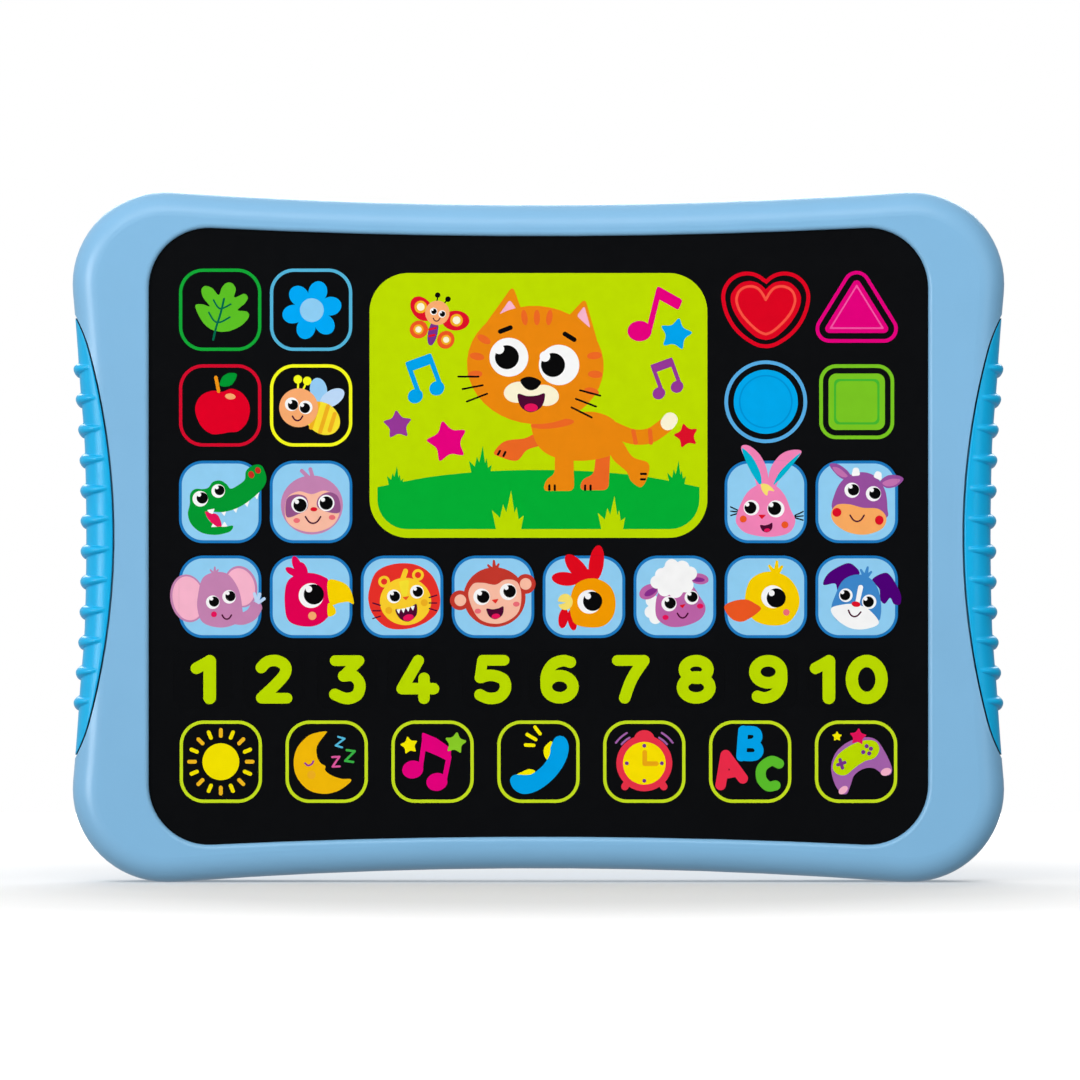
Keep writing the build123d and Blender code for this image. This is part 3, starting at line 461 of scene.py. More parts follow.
def sheep():
    crown = ((-4.6, 3.8, 1.7), (-3.3, 5.6, 1.8), (-0.8, 7.9, 1.8), (1.9, 7.4, 1.9), (3.9, 6.0, 1.8),
             (-2.6, 1.9, 1.8), (0.2, 1.6, 1.9), (2.9, 3.0, 1.9), (0.2, 4.8, 4.2))
    cheek = ((-5.9, -1.0, 1.6), (-6.2, -3.9, 1.6), (-5.0, -5.4, 1.6), (-4.6, -2.6, 2.2))
    face = blob((-4.9, -1.4), (-3.7, 1.8), (0.0, 3.6), (4.2, 3.0), (6.3, 0.2), (7.9, -2.8), (6.6, -5.7),
                (2.6, -7.5), (-1.6, -7.6), (-4.6, -5.4))
    ears = paint("sheep_face", oval(-6.7, 1.3, 2.6, 1.8, 28), oval(6.3, 4.6, 2.4, 1.4, -8))
    ears += paint("sheep_ear", oval(-6.2, 1.2, 1.8, 0.8, 28), oval(6.0, 4.4, 1.7, 0.6, -4))
    return (paint("white", *[oval(*curl) for curl in cheek]) + ears + paint("sheep_face", face)
            + paint("white", *[oval(*curl) for curl in crown])
            + eye(-1.5, -1.8, 1.95, (0.15, 0.1)) + eye(4.3, -0.2, 1.8, (0.12, 0.1))
            + paint("red", soft([(1.1, -2.2), (2.8, -1.8), (2.0, -3.0)], 0.3))
            + paint("tongue", oval(-2.4, -5.3, 0.8, 0.65), oval(6.5, -2.4, 0.85, 0.65))
            + smile(2.0, -4.6, 2.7))


def duck():
    body = blob((-5.4, -0.6), (-4.2, 4.0), (-1.0, 6.2), (2.8, 6.3), (6.4, 4.4), (8.5, 0.6), (8.3, -3.2),
                (5.8, -6.6), (1.8, -7.4), (-2.4, -6.4), (-4.8, -3.8))
    bill = blob((-10.5, -2.2), (-8.0, -1.0), (-5.0, -0.7), (-2.8, -1.7), (-1.2, -3.0), (-3.0, -4.8),
                (-6.0, -6.4), (-8.6, -5.8), (-10.3, -3.8))
    return (paint("duck", body) + tuft(2.6, 5.6, 3.4, "duck", 4) + paint("duck_bill", bill)
            + eye(1.8, 0.0, 2.95, (0.3, -0.1), 0.76) + paint("blush", oval(5.3, -4.0, 0.85)))


def puppy():
    head = blob((-6.5, -3.2), (-5.6, 0.2), (-3.7, 4.0), (-0.8, 5.6), (2.6, 5.3), (5.2, 2.6), (6.2, -1.4),
                (6.2, -4.6), (5.2, -6.4), (0.2, -7.2), (-4.8, -6.2))
    muzzle = blob((-6.6, -3.0), (-3.6, -2.0), (-0.4, -1.9), (3.0, -3.2), (5.7, -6.7), (2.2, -8.3),
                  (-1.8, -8.0), (-5.4, -5.6))
    ear = blob((-8.6, 3.1), (-7.2, 6.1), (-2.6, 8.6), (-0.2, 7.6), (0.6, 5.6), (-3.0, 3.4), (-4.8, 1.6),
               (-5.6, 3.4))
    far_ear = blob((4.0, 4.4), (6.9, 6.1), (8.7, 5.4), (11.2, 1.0), (11.2, -1.8), (9.6, -1.9), (8.6, -0.3),
                   (7.2, -1.8), (6.0, -0.6), (5.8, 2.0))
    return (paint("dog_ear", ear, far_ear) + tuft(2.2, 4.8, 2.8, "dog", -4) + paint("dog", head)
            + paint("white", muzzle, bar(1.0, 2.4, 0.2, -1.4, 1.3, 1.1)) + eye(-2.8, 0.4, 1.75, (-0.1, 0.0))
            + eye(3.2, -1.3, 1.85, (-0.1, 0.0)) + paint("red", oval(-0.2, -1.9, 1.15, 0.7, -10))
            + smile(-0.6, -4.1, 3.2, turn=-8))


def rabbit():
    ears = paint("rabbit", blob((-1.9, 3.2), (-3.4, 8.0), (-5.9, 12.4), (-6.2, 14.4), (-4.2, 14.4),
                                (-1.6, 12.2), (0.2, 8.6), (0.6, 4.0)),
                 blob((0.8, 3.6), (1.0, 8.0), (3.4, 11.8), (6.4, 13.3), (9.2, 12.9), (6.6, 9.4), (3.8, 6.4),
                      (2.4, 3.6)))
    ears += paint("teal", blob((-1.2, 4.2), (-3.0, 6.4), (-5.0, 10.2), (-6.1, 13.8), (-3.4, 11.4),
                               (-1.4, 7.4)),
                  blob((2.0, 4.4), (3.4, 7.4), (6.2, 10.4), (9.0, 12.6), (6.6, 9.2), (4.0, 6.2)))
    whiskers = []
    for s, x, y in ((-1, -6.9, -2.6), (1, 7.5, -3.8)):
        whiskers += [bar(x, y + 0.3 * k, x + s * 2.1, y + 1.1 * k + 0.2, 0.36) for k in (-1, 0, 1)]
    head = blob((-7.6, -3.8), (-6.4, -0.4), (-4.6, 2.6), (-1.6, 4.5), (2.2, 4.3), (4.8, 1.8), (6.4, -2.0),
                (7.6, -5.0), (5.8, -8.0), (0.6, -9.0), (-5.0, -8.0), (-7.4, -5.8))
    lock = paint("straw", blob((-1.2, 4.6), (-0.9, 2.8), (0.3, 1.6), (0.7, 2.9), (2.2, 2.8), (0.6, 4.4)))
    return (ears + paint("ink", *whiskers) + paint("rabbit", head) + lock
            + eye(-3.7, -1.5, 2.0, (-0.12, 0.0), 0.7) + eye(2.6, -1.8, 2.2, (-0.15, 0.05), 0.7)
            + paint("red", soft([(-2.0, -3.3), (0.1, -3.3), (-1.0, -4.5)], 0.35))
            + paint("duck_bill", oval(-5.8, -4.4, 0.9), oval(4.9, -5.9, 0.9)) + laugh(0.2, -6.5, 3.2, 8))


def cow():
    ears = paint("cow", blob((-7.0, 9.6), (-4.8, 9.7), (-2.2, 7.8), (-1.4, 5.8), (-3.4, 5.8), (-5.4, 7.2)),
                 blob((6.0, 5.2), (8.0, 6.8), (10.6, 6.8), (12.0, 5.8), (10.2, 4.0), (7.6, 3.6)))
    ears += paint("cow_ear", blob((-6.2, 8.9), (-4.4, 8.6), (-2.2, 6.5), (-3.6, 6.4), (-5.2, 7.3)),
                  blob((6.6, 4.9), (8.8, 5.9), (11.2, 5.7), (9.8, 4.3), (7.8, 4.0)))
    head = blob((-6.0, -2.4), (-5.6, 2.2), (-3.4, 5.8), (0.4, 7.6), (4.4, 6.8), (7.2, 3.2), (7.9, -1.6),
                (7.4, -4.2), (0.6, -5.0))
    muzzle = blob((-6.6, -3.0), (-5.2, -0.8), (-2.0, -0.6), (1.6, -1.5), (5.6, -1.8), (7.6, -4.0),
                  (6.6, -6.8), (2.4, -8.4), (-2.2, -7.8), (-5.6, -5.6))
    horns = paint("white", soft([(-1.4, 6.6), (-0.9, 8.8), (0.5, 8.8), (0.9, 6.8)], 0.6),
                  soft([(4.2, 6.4), (5.0, 8.0), (6.4, 7.6), (6.4, 5.4)], 0.6))
    return (ears + paint("cow", head) + horns + paint("muzzle", muzzle)
            + eye(-1.2, 3.0, 1.95, (0.2, 0.05)) + eye(4.3, 2.1, 1.95, (0.2, 0.05))
            + paint("red", oval(-5.1, -2.7, 1.15), oval(5.8, -4.7, 1.1, 1.2)) + smile(0.1, -3.9, 3.6))


def sun():
    rays = []
    for i in range(16):
        a = i * pi / 8
        ray = bar(7.0 * cos(a), 7.0 * sin(a), 8.6 * cos(a), 8.6 * sin(a), 1.05)
        rays += paint("ray" if i % 2 == 0 else "sun", ray)
    return moved(paint("sun", oval(0, 0, 5.0)) + rays, scale=0.95)


def moon():
    crescent = blob((0.9, 7.2), (1.3, 8.0), (-0.8, 7.8), (-3.6, 6.8), (-6.4, 3.8), (-7.4, 0.0), (-6.6, -4.0),
                    (-3.6, -7.4), (0.6, -8.5), (4.4, -7.7), (7.5, -5.5), (7.6, -4.6), (5.2, -4.5),
                    (2.4, -3.5), (0.9, -2.2), (1.0, -1.2), (-0.2, -0.4), (-1.2, 1.4), (-1.2, 4.2))
    picture = paint("moon", crescent) + paint("amber", oval(-2.7, -3.5, 1.1))
    picture += paint("purple", stroke([(-4.4, -0.4), (-3.6, -1.0), (-2.6, -0.6), (-2.2, 0.1)], 0.5))
    for x, y, size, ink, turn in ((4.9, 5.2, 1.5, "sleep_blue", -16), (7.5, 1.5, 1.8, "sleep_green", -8),
                                  (3.8, 0.0, 1.6, "sleep_pink", 2)):
        zed = stroke([(-0.6, 0.8), (0.6, 0.8), (-0.6, -0.8), (0.6, -0.8)], 0.34, smooth=False)
        picture += moved(paint(ink, zed), x, y, size, turn)
    return moved(picture, -1.3, 0.0, 0.97)


def music():
    stem = [bar(-1.5, -2.4, -0.3, 6.0, 1.25), bar(4.6, -5.6, 5.9, 1.0, 1.3)]
    beam = soft([(-1.0, 7.4), (2.8, 5.8), (6.5, 3.2), (6.3, -0.4), (3.2, 1.2), (-1.1, 3.0)], 0.6)
    heads = (oval(-3.4, -2.2, 2.7, 2.3, 10), oval(2.8, -5.4, 2.7, 2.3, 10))
    notes = moved(paint("note", beam, *stem, *heads), -1.7, 0.2)
    return (notes + paint("star_yellow", star(-6.0, 4.2, 2.5, 12))
            + paint("star_green", star(5.9, 4.8, 3.1, -8)))


def phone():
    handle = blob((4.6, 6.4), (6.8, 6.2), (7.8, 3.4), (6.6, -0.6), (3.6, -4.6), (-0.2, -7.4), (-3.6, -8.3),
                  (-6.2, -7.2), (-7.3, -4.8), (-6.2, -3.4), (-3.0, -3.4), (-1.4, -3.0), (1.2, -0.9),
                  (2.9, 1.8), (3.2, 4.0))
    ends = [blob((3.5, 5.2), (1.6, 3.8), (1.4, 1.8), (2.4, 0.4), (3.6, 1.2)),
            blob((-5.6, -3.5), (-4.0, -2.5), (-2.4, -1.9), (-0.9, -2.4), (-1.6, -3.8))]
    rings = [bar(-0.9, 8.9, 0.4, 7.2, 0.9), bar(-2.9, 7.0, -0.7, 5.7, 0.9), bar(-3.3, 4.3, -1.2, 4.2, 0.9)]
    return paint("star_yellow", *ends, *rings) + paint("sky", handle)


def clock():
    feet = paint("clock", bar(-3.6, -4.2, -5.0, -6.4, 1.9), bar(3.6, -4.2, 5.0, -6.4, 1.9),
                 oval(0, 5.9, 2.6, 2.2))
    face = paint("clock", oval(0, -0.4, 7.2)) + paint("clock_face", oval(0, -0.4, 5.5))
    hands = paint("clock_hand", stroke([(0.1, 2.4), (0.1, -0.5), (3.1, -0.5)], 1.2, smooth=False))
    quarters = ((0, 1), (0, -1), (1, 0), (-1, 0))
    marks = paint("plum", *[oval(4.5 * x, -0.4 + 4.5 * y, 0.5, count=16) for x, y in quarters])
    sound = []
    for s in (-1, 1):
        for reach in (9.0, 7.6):
            angles = [90 - s * a for a in (30, 38, 46, 54 if reach > 8 else 50)]
            sound += stroke([(reach * cos(radians(a)), reach * sin(radians(a)) - 0.4) for a in angles], 0.5)
    return feet + face + hands + marks + paint("violet", sound)


def letters():
    a = stroke([(-7.6, -6.0), (-6.3, 1.7), (-1.9, -4.3)], 2.7, smooth=False)
    a += stroke([(-6.4, -3.4), (-3.6, -2.9)], 2.0)
    b = stroke([(-1.9, 1.7), (-1.4, 8.3)], 2.6, smooth=False)
    b += stroke([(-1.4, 8.3), (1.6, 8.2), (2.4, 6.6), (1.3, 5.2), (-1.4, 4.9)], 2.3)
    b += stroke([(-1.5, 4.9), (1.6, 4.8), (2.7, 3.2), (1.6, 1.7), (-1.9, 1.7)], 2.3)
    c = stroke([(7.4, -0.5), (5.4, 0.2), (3.0, -1.6), (2.9, -4.4), (4.6, -6.3), (6.5, -6.1)], 2.6)
    return paint("letter_a", a) + moved(paint("sky", b), -0.4, -0.3) + paint("letter_c", c)


def gamepad():
    shell = blob((-6.4, -1.2), (-5.0, 2.6), (-1.8, 5.2), (2.0, 6.3), (5.2, 5.6), (7.6, 2.2), (9.2, -1.6),
                 (8.6, -3.4), (6.6, -3.0), (4.6, -1.7), (2.0, -1.8), (-0.4, -3.4), (-1.4, -6.0), (-2.4, -8.2),
                 (-3.9, -8.0), (-5.6, -5.4))
    panel = blob((-6.0, -1.4), (-4.8, 1.6), (-1.4, 4.2), (2.4, 5.5), (5.0, 5.2), (6.0, 3.2), (4.8, 1.0),
                 (2.0, 0.0), (-0.6, -1.8), (-2.6, -3.4), (-4.8, -3.2))
    corners = ((0.2, 1), (1.2, 0.4), (-0.6, -0.4), (0.8, -0.7))
    dots = [oval(2.5 + 1.1 * x, 2.9 + 1.1 * y, 0.55, count=16) for x, y in corners]
    cross = [bar(-4.7, -0.8, -2.9, -0.2, 0.9), bar(-4.1, 0.5, -3.5, -1.6, 0.9)]
    tips = [oval(-3.3, -7.3, 1.35, 0.85, 40), oval(7.7, -2.6, 1.4, 0.95, 20)]
    return (paint("violet", shell) + paint("lime", panel) + paint("plum", *dots, *cross)
            + paint("pink", *tips) + paint("star_yellow", star(-4.9, 6.5, 1.4))
            + paint("tongue", star(0.5, 6.4, 2.4, -6)))


def heart_shape(*half):
    """A heart from the points of its right half, from the notch round to the tip."""
    path = through(list(half), closed=False, steps=5)
    return path[:-1] + [(-x, y) for x, y in reversed(path[1:])]


HEART_FILL = heart_shape((0, 5.3), (1.44, 6.6), (2.75, 7.2), (4.3, 7.4), (6.2, 7.0), (7.7, 5.8), (8.8, 4.2),
                         (9.05, 2.5), (8.65, 0.6), (7.7, -1.4), (6.2, -3.6), (4.3, -5.6), (2.2, -7.2),
                         (0, -7.8))
HEART_LINE = heart_shape((0, 2.6), (1.05, 4.4), (2.2, 5.6), (3.9, 6.05), (5.6, 5.7), (6.8, 4.8), (7.4, 3.5),
                         (7.5, 2.15), (6.95, 0.3), (5.9, -1.5), (4.3, -3.35), (2.5, -5.0), (1.2, -5.85),
                         (0, -6.25))


# ---- digits ----
def ring(x, y, rx, ry, width):
    """A stroke that runs round an ellipse."""
    path = oval(x, y, rx, ry, count=22)
    return stroke(path + path[:1], width, smooth=False)


def digit(value):
    """One bold round-ended digit about 12.7 mm high."""
    w = 3.0
    if value == 0:
        shapes = ring(0, 0, 3.9, 4.85, 3.2)
    elif value == 1:
        shapes = [bar(-1.9, 2.9, 1.4, 4.7, w), bar(1.6, 4.75, 1.6, -4.8, 3.3)]
    elif value == 2:
        shapes = stroke([(-3.3, 3.1), (-1.7, 4.6), (0.7, 4.9), (2.8, 3.7), (2.9, 1.6), (0.6, -1.2),
                         (-3.2, -4.8)], w)
        shapes.append(bar(-3.2, -4.9, 3.4, -4.9, 2.8))
    elif value == 3:
        shapes = stroke([(-3.2, 4.9), (3.0, 4.9), (-1.0, 0.9)], 2.8, smooth=False)
        shapes += stroke([(-1.0, 0.9), (1.6, 0.9), (3.2, -1.2), (2.5, -4.0), (-0.2, -5.0), (-3.3, -3.9)], w)
    elif value == 4:
        shapes = stroke([(0.2, 4.9), (-4.0, -2.4), (4.2, -2.4)], w, smooth=False)
        shapes.append(bar(1.7, 0.3, 1.7, -4.9, w))
    elif value == 5:
        shapes = stroke([(3.0, 5.0), (-2.6, 5.0), (-3.2, 0.9)], 2.8, smooth=False)
        shapes += stroke([(-3.2, 0.5), (-0.4, 1.1), (2.8, 0.0), (3.3, -2.6), (1.6, -4.6), (-1.2, -4.9),
                          (-3.3, -4.0)], w)
    elif value == 6:
        shapes = ring(0, -1.9, 3.5, 2.9, w)
        shapes += stroke([(-3.5, -1.9), (-3.4, 1.2), (-1.8, 3.9), (0.8, 4.9), (2.8, 4.5)], w)
    elif value == 7:
        shapes = [bar(-3.4, 4.95, 3.5, 4.95, 2.8)] + stroke([(3.5, 4.9), (0.4, 0.2), (-1.5, -4.8)], w)
    elif value == 8:
        shapes = ring(0, 2.6, 3.1, 2.3, w) + ring(0, -2.1, 3.6, 2.75, w)
    else:
        return moved(digit(6), 0.6, 0.0, 1.0, 180)
    return moved(paint("lime", shapes), 0.35 if value > 5 else 0.1, -0.05, 0.985)


# ---- picture window ----
def grass(x, y, size, ink, wide=1.0):
    """A tuft of grass of the given height standing on (x, y)."""
    spikes = [(-0.37, 0.0), (-0.48, 0.5), (-0.26, 0.3), (-0.18, 0.64), (-0.09, 0.44), (0.04, 1.0),
              (0.13, 0.42), (0.19, 0.58), (0.24, 0.26), (0.38, 0.36), (0.31, 0.0)]
    return paint(ink, [(x + wide * size * u, y + size * v) for u, v in spikes])


def kitten():
    """A plain ginger kitten walking to the left, seen from the side, its head turned to the viewer."""
    far = paint("cat_dark", blob((0.6, -6.6), (-3.4, -8.4), (-8.6, -9.2), (-11.4, -12.0), (-10.0, -13.2),
                                 (-5.6, -14.2), (-2.8, -11.4), (2.2, -9.6)))
    far += paint("cat_dark", soft([(15.2, -9.4), (18.6, -9.4), (18.0, -21.8), (10.6, -21.8), (11.2, -19.0),
                                   (14.2, -17.8)], 1.6))
    tail = paint("cat", stroke([(19.0, -6.0), (24.0, -8.0), (28.6, -7.8), (32.6, -5.2)], 3.9))
    tail += paint("cat_dark", bar(25.0, -9.6, 24.4, -6.6, 1.1), bar(28.9, -9.6, 28.7, -6.5, 1.1))
    tail += paint("cream", stroke([(33.3, -4.5), (33.9, -3.7)], 3.8))
    trunk = paint("cat", blob((-1.6, -1.0), (3.0, -1.6), (9.0, -1.7), (15.0, -1.8), (19.6, -4.0),
                              (21.6, -8.6), (19.0, -12.6), (12.0, -14.2), (5.0, -13.6), (0.4, -11.0),
                              (-1.8, -6.0)))
    legs = paint("cat", soft([(4.2, -12.0), (9.0, -12.6), (9.2, -22.0), (1.2, -22.0), (1.8, -19.2),
                              (4.2, -17.6)], 1.6),
                 blob((18.2, -9.6), (21.2, -9.0), (24.2, -13.2), (28.2, -14.8), (28.2, -18.0), (26.4, -21.0),
                      (23.8, -19.4), (22.6, -17.0), (19.0, -13.6)))
    toes = [bar(x, -21.7, x, -20.6, 0.6) for x in (2.8, 4.2, 12.0, 13.4)]
    toes += [bar(-10.4, -12.6, -9.9, -11.7, 0.6), bar(-9.0, -13.0, -8.5, -12.0, 0.6),
             bar(26.4, -17.6, 27.6, -17.6, 0.6), bar(26.4, -19.0, 27.4, -19.0, 0.6)]
    ears = paint("cat", soft([(-14.6, 19.6), (-6.6, 30.8), (-3.6, 22.6)], 1.6),
                 soft([(6.8, 22.0), (12.0, 27.6), (15.4, 15.6)], 1.6))
    ears += paint("pink", soft([(-10.6, 22.6), (-7.4, 27.2), (-5.4, 24.4)], 0.8),
                  soft([(9.8, 23.0), (11.8, 25.6), (13.4, 19.8)], 0.8))
    face = paint("cat_dark", oval(3.6, -4.7, 5.6, 1.2, 6)) + paint("cat", oval(-0.8, 10.4, 17.6, 15.2, -4))
    for x, y, turn in ((-14.0, 17.0, -30), (-15.8, 12.6, -10), (-16.3, 8.0, 5),
                       (14.4, 12.8, 5), (14.6, 8.0, -3), (13.7, 3.6, -14)):
        face += paint("cat_dark", oval(x, y, 1.9, 0.95, turn))
    for x, turn in ((-3.6, 8), (-0.4, 0), (2.8, -8)):
        face += paint("cat_dark", oval(x, 22.6, 0.8, 2.0, turn))
    face += eye(-7.6, 12.4, 5.0, (-0.1, 0.0), 0.56) + eye(5.3, 10.4, 5.2, (-0.3, 0.0), 0.54)
    face += paint("ink", bar(-9.8, 19.0, -7.2, 20.0, 1.2), bar(6.8, 18.4, 9.2, 16.9, 1.2))
    muzzle = paint("cream", oval(-5.2, 3.4, 3.7, 2.7, 8), oval(1.6, 2.6, 3.7, 2.7, -10))
    nose = blob((-4.6, 6.6), (-2.2, 7.4), (0.6, 6.2), (-0.4, 4.4), (-2.2, 3.9), (-3.8, 4.8))
    muzzle += laugh(-1.9, 1.2, 7.0, -2) + paint("ink", nose)
    whiskers = []
    for s, x, y, drop, fan in ((-1, -14.3, 5.2, 1.0, 1.0), (1, 9.6, 1.7, 2.0, 0.6)):
        for k in (-1, 0, 1):
            start, level = x + 1.1 * s * k, y + 2.2 * k
            whiskers.append(bar(start, level, start + 5.2 * s, level - drop + fan * k, 0.5))
    return far + tail + trunk + legs + paint("ink", *toes) + ears + face + muzzle + paint("ink", *whiskers)


def butterfly():
    wings = paint("red", oval(-4.2, 3.0, 3.7, 2.7, 128), oval(5.0, -0.2, 3.7, 2.7, 0))
    wings += paint("duck_bill", oval(-5.0, -2.6, 2.5, 2.4, 30), oval(2.3, -5.4, 2.5, 2.3, 60))
    for x, y, r in ((-4.5, 3.5, 1.7), (5.2, -0.1, 1.7), (-5.1, -2.6, 1.35), (2.4, -5.4, 1.35)):
        wings += paint("amber", oval(x, y, r)) + paint("cream", oval(x, y, 0.62 * r, count=18))
    body = paint("plum", oval(-1.2, -3.4, 1.3, 3.6, -12))
    body += paint("red", bar(-2.2, -2.6, -0.4, -2.2, 0.6), bar(-2.2, -4.4, -0.8, -4.1, 0.6))
    head = paint("ink", stroke([(-0.3, 4.0), (0.1, 6.2)], 0.35), stroke([(1.1, 3.6), (2.6, 5.3)], 0.35),
                 oval(0.1, 6.7, 0.75, count=16), oval(2.9, 5.6, 0.75, count=16))
    head += paint("peach", oval(0, 1.9, 3.3))
    return (wings + body + head + eye(-1.0, 2.3, 1.0, (0.1, 0)) + eye(1.3, 1.6, 1.0, (0.1, 0))
            + smile(-0.2, 0.2, 1.8, line=0.3))


def window_picture():
    """Lime sky, a green hill inside a narrow lime frame, grass, a kitten, a butterfly, notes and stars."""
    hill = through([(-41.4, -21.0), (-28.0, -18.4), (-14.0, -17.0), (0.0, -16.6), (14.0, -17.0),
                    (28.0, -18.4), (41.4, -21.0)], closed=False)
    lower = [p for p in box(0, -21.8, 82.8, 20.0, 7.6) if p[1] < -22.0]
    down_right = sorted([p for p in lower if p[0] > 0], key=lambda p: -p[1])
    up_left = sorted([p for p in lower if p[0] < 0], key=lambda p: p[1])
    picture = paint("meadow", hill + down_right + up_left)
    picture += grass(-36.6, -20.6, 5.0, "meadow") + grass(-14.6, -18.0, 7.6, "meadow", 0.9)
    picture += grass(35.8, -20.4, 6.2, "meadow", 0.9)
    picture += grass(-7.4, -31.9, 10.0, "lime", 0.95) + grass(19.2, -31.9, 8.6, "lime", 0.95)
    picture += moved(butterfly(), -26.0, 22.0, 0.95)
    picture += moved(double_note("sky", 20), -29.0, 6.8, 0.95)
    picture += paint("purple", star(-36.2, -5.0, 4.1, 5)) + paint("note", star(-23.4, -9.3, 5.9, 14))
    picture += moved(single_note("note"), 28.4, 23.5, 1.15, -14) + paint("sky", star(35.3, 18.3, 4.6, -12))
    picture += moved(double_note("purple", 20), 33.2, 6.8, 0.8) + paint("red", star(38.0, -7.8, 3.5, 14))
    return picture + kitten()


# ---- films ----
FLATNESS = 1e-6        # in metres: vertices this close to the foremost one belong to the front face
LEAST_STEP = 0.05      # shorter steps along a face's outline are left out
CUT_EPSILON = 1e-4     # points and edges nearer than this are joined when shapes are cut
TILE_LINE, RING_LINE, HEART_RING = 0.72, 0.84, 1.0    # width of the line along a key's edge
HEART_FINE = 0.65                                     # width of the fine line inside the heart


def added(name, data):
    """A new object in the scene, holding the data."""
    holder = bpy.data.objects.new(name, data)
    bpy.context.scene.collection.objects.link(holder)
    return holder


def face_outline(node):
    """The outline of a CAD node's front face round its box's middle, that middle, and the face's y."""
    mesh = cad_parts[node].data
    front = min(v.co.y for v in mesh.vertices)
    flat = {v.index for v in mesh.vertices if v.co.y < front + FLATNESS}
    key_of = {i: (round(mesh.vertices[i].co.x / MM, 3), round(mesh.vertices[i].co.z / MM, 3)) for i in flat}
    uses = {}
    for polygon in mesh.polygons:
        loop = list(polygon.vertices)
        if all(i in flat for i in loop):
            for i, j in steps_of(loop):
                edge = (key_of[i], key_of[j])
                uses[edge] = uses.get(edge, 0) + 1
    following = {a: b for a, b in uses if (b, a) not in uses and a != b}
    start = next(iter(following))
    outline = [start]
    while following[outline[-1]] != start:
        outline.append(following[outline[-1]])
    xs, ys = [p[0] for p in outline], [p[1] for p in outline]
    centre = ((min(xs) + max(xs)) / 2, (min(ys) + max(ys)) / 2)
    before = outline[-1:] + outline[:-1]
    spaced = [p for p, q in zip(outline, before) if hypot(p[0] - q[0], p[1] - q[1]) > LEAST_STEP]
    return anticlockwise([(x - centre[0], y - centre[1]) for x, y in spaced]), centre, front


def arrange(shapes):
    """Cuts painted shapes into triangles that don't overlap, each with the shapes it lies in."""
    points, faces = [], []
    for outline, _ in shapes:
        outline = anticlockwise(outline)
        faces.append(list(range(len(points), len(points) + len(outline))))
        points += [Vector(p) for p in outline]
    verts, _, triangles, _, _, sources = delaunay_2d_cdt(points, [], faces, 1, CUT_EPSILON)
    return verts, triangles, sources


def film(name, verts, picked, centre, front, body):
    """A thin printed sheet in front of what it lies on: picked is a list of (triangle, ink)."""
    inks = sorted({ink for _, ink in picked})
    kept = sorted({i for triangle, _ in picked for i in triangle})
    place = {old: new for new, old in enumerate(kept)}
    face_y, edge_y = front - FILM_PROUD * MM, front + FILM_SUNK * MM
    spots = [((centre[0] + verts[i].x) * MM, (centre[1] + verts[i].y) * MM) for i in kept]
    coords = [(x, face_y, z) for x, z in spots]
    faces = [tuple(place[i] for i in triangle) for triangle, _ in picked]
    slots = [inks.index(ink) for _, ink in picked]
    rims = {}
    for number, triangle in enumerate(faces):
        for i, j in steps_of(triangle):
            rims[(i, j)] = number
    lowered = {}
    for (i, j), number in list(rims.items()):
        if (j, i) in rims:
            continue
        for v in (i, j):
            if v not in lowered:
                lowered[v] = len(coords)
                coords.append((spots[v][0], edge_y, spots[v][1]))
        faces.append((j, i, lowered[i], lowered[j]))
        slots.append(slots[number])
    mesh = bpy.data.meshes.new(name)
    mesh.from_pydata(coords, [], faces)
    for ink in inks:
        mesh.materials.append(ink_material(ink))
    mesh.polygons.foreach_set("material_index", slots)
    mesh.validate()
    mesh.update()
    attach(added(name, mesh), body)


def print_key(key, backing, motif):
    """The film on a key. What the motif shows outside the key's edge is returned, for the panel."""
    outline, centre, front = face_outline("key_" + key)
    edge = inset(outline, -KEY_GAP)
    outline = inset(outline, -FILM_OVERHANG)
    shapes = [(edge, None), (outline, None)] + backing(outline) + motif
    verts, triangles, sources = arrange(shapes)
    on_key, outside = [], []
    for triangle, inside in zip(triangles, sources):
        if not inside:
            continue
        ink = shapes[max(inside)][1]
        if 1 in inside:
            on_key.append((triangle, ink))
        elif 0 not in inside and ink:
            outside.append((triangle, ink))
    film("film_" + key, verts, on_key, centre, front, key + "_button")
    return verts, outside, centre


def tile_backing(edge, fill):
    """A backing painter: a line along the key's edge in one ink and what is inside it in another."""
    line = TILE_LINE if fill == "tile" else RING_LINE
    return lambda outline: [(outline, edge), (inset(outline, line), fill)]


def rounded(corners, radius):
    """A convex polygon with its corners rounded by arcs of one radius."""
    outline = []
    for i in range(len(corners)):
        p, q, r = Vector(corners[i - 1]), Vector(corners[i]), Vector(corners[(i + 1) % len(corners)])
        a, b = (p - q).normalized(), (r - q).normalized()
        half = a.angle(b) / 2
        middle = q + (a + b).normalized() * radius / sin(half)
        first = atan2(*(q + a * radius / tan(half) - middle).yx)
        for j in range(9):
            turn = first + (pi - 2 * half) * j / 8
            outline.append((middle.x + radius * cos(turn), middle.y + radius * sin(turn)))
    return outline


# the circle, square and triangle keys' edges; the triangle's height is measured from its key's middle
CIRCLE_RADIUS, SQUARE_WIDTH, SQUARE_ROUND = 10.65, 19.3, 4.4
TRIANGLE_HALF, TRIANGLE_TOP, TRIANGLE_LOW, TRIANGLE_ROUND = 13.45, 12.55, -9.25, 3.6
# how far inside the key's edge the coloured rim ends, the filled shape begins, and its fine line runs
RIM = 0.95
SHAPE_STEPS = {"triangle": (2.5, 3.55, 3.95), "circle": (2.4, 3.75, 4.15), "square": (2.4, 3.8, 4.35)}


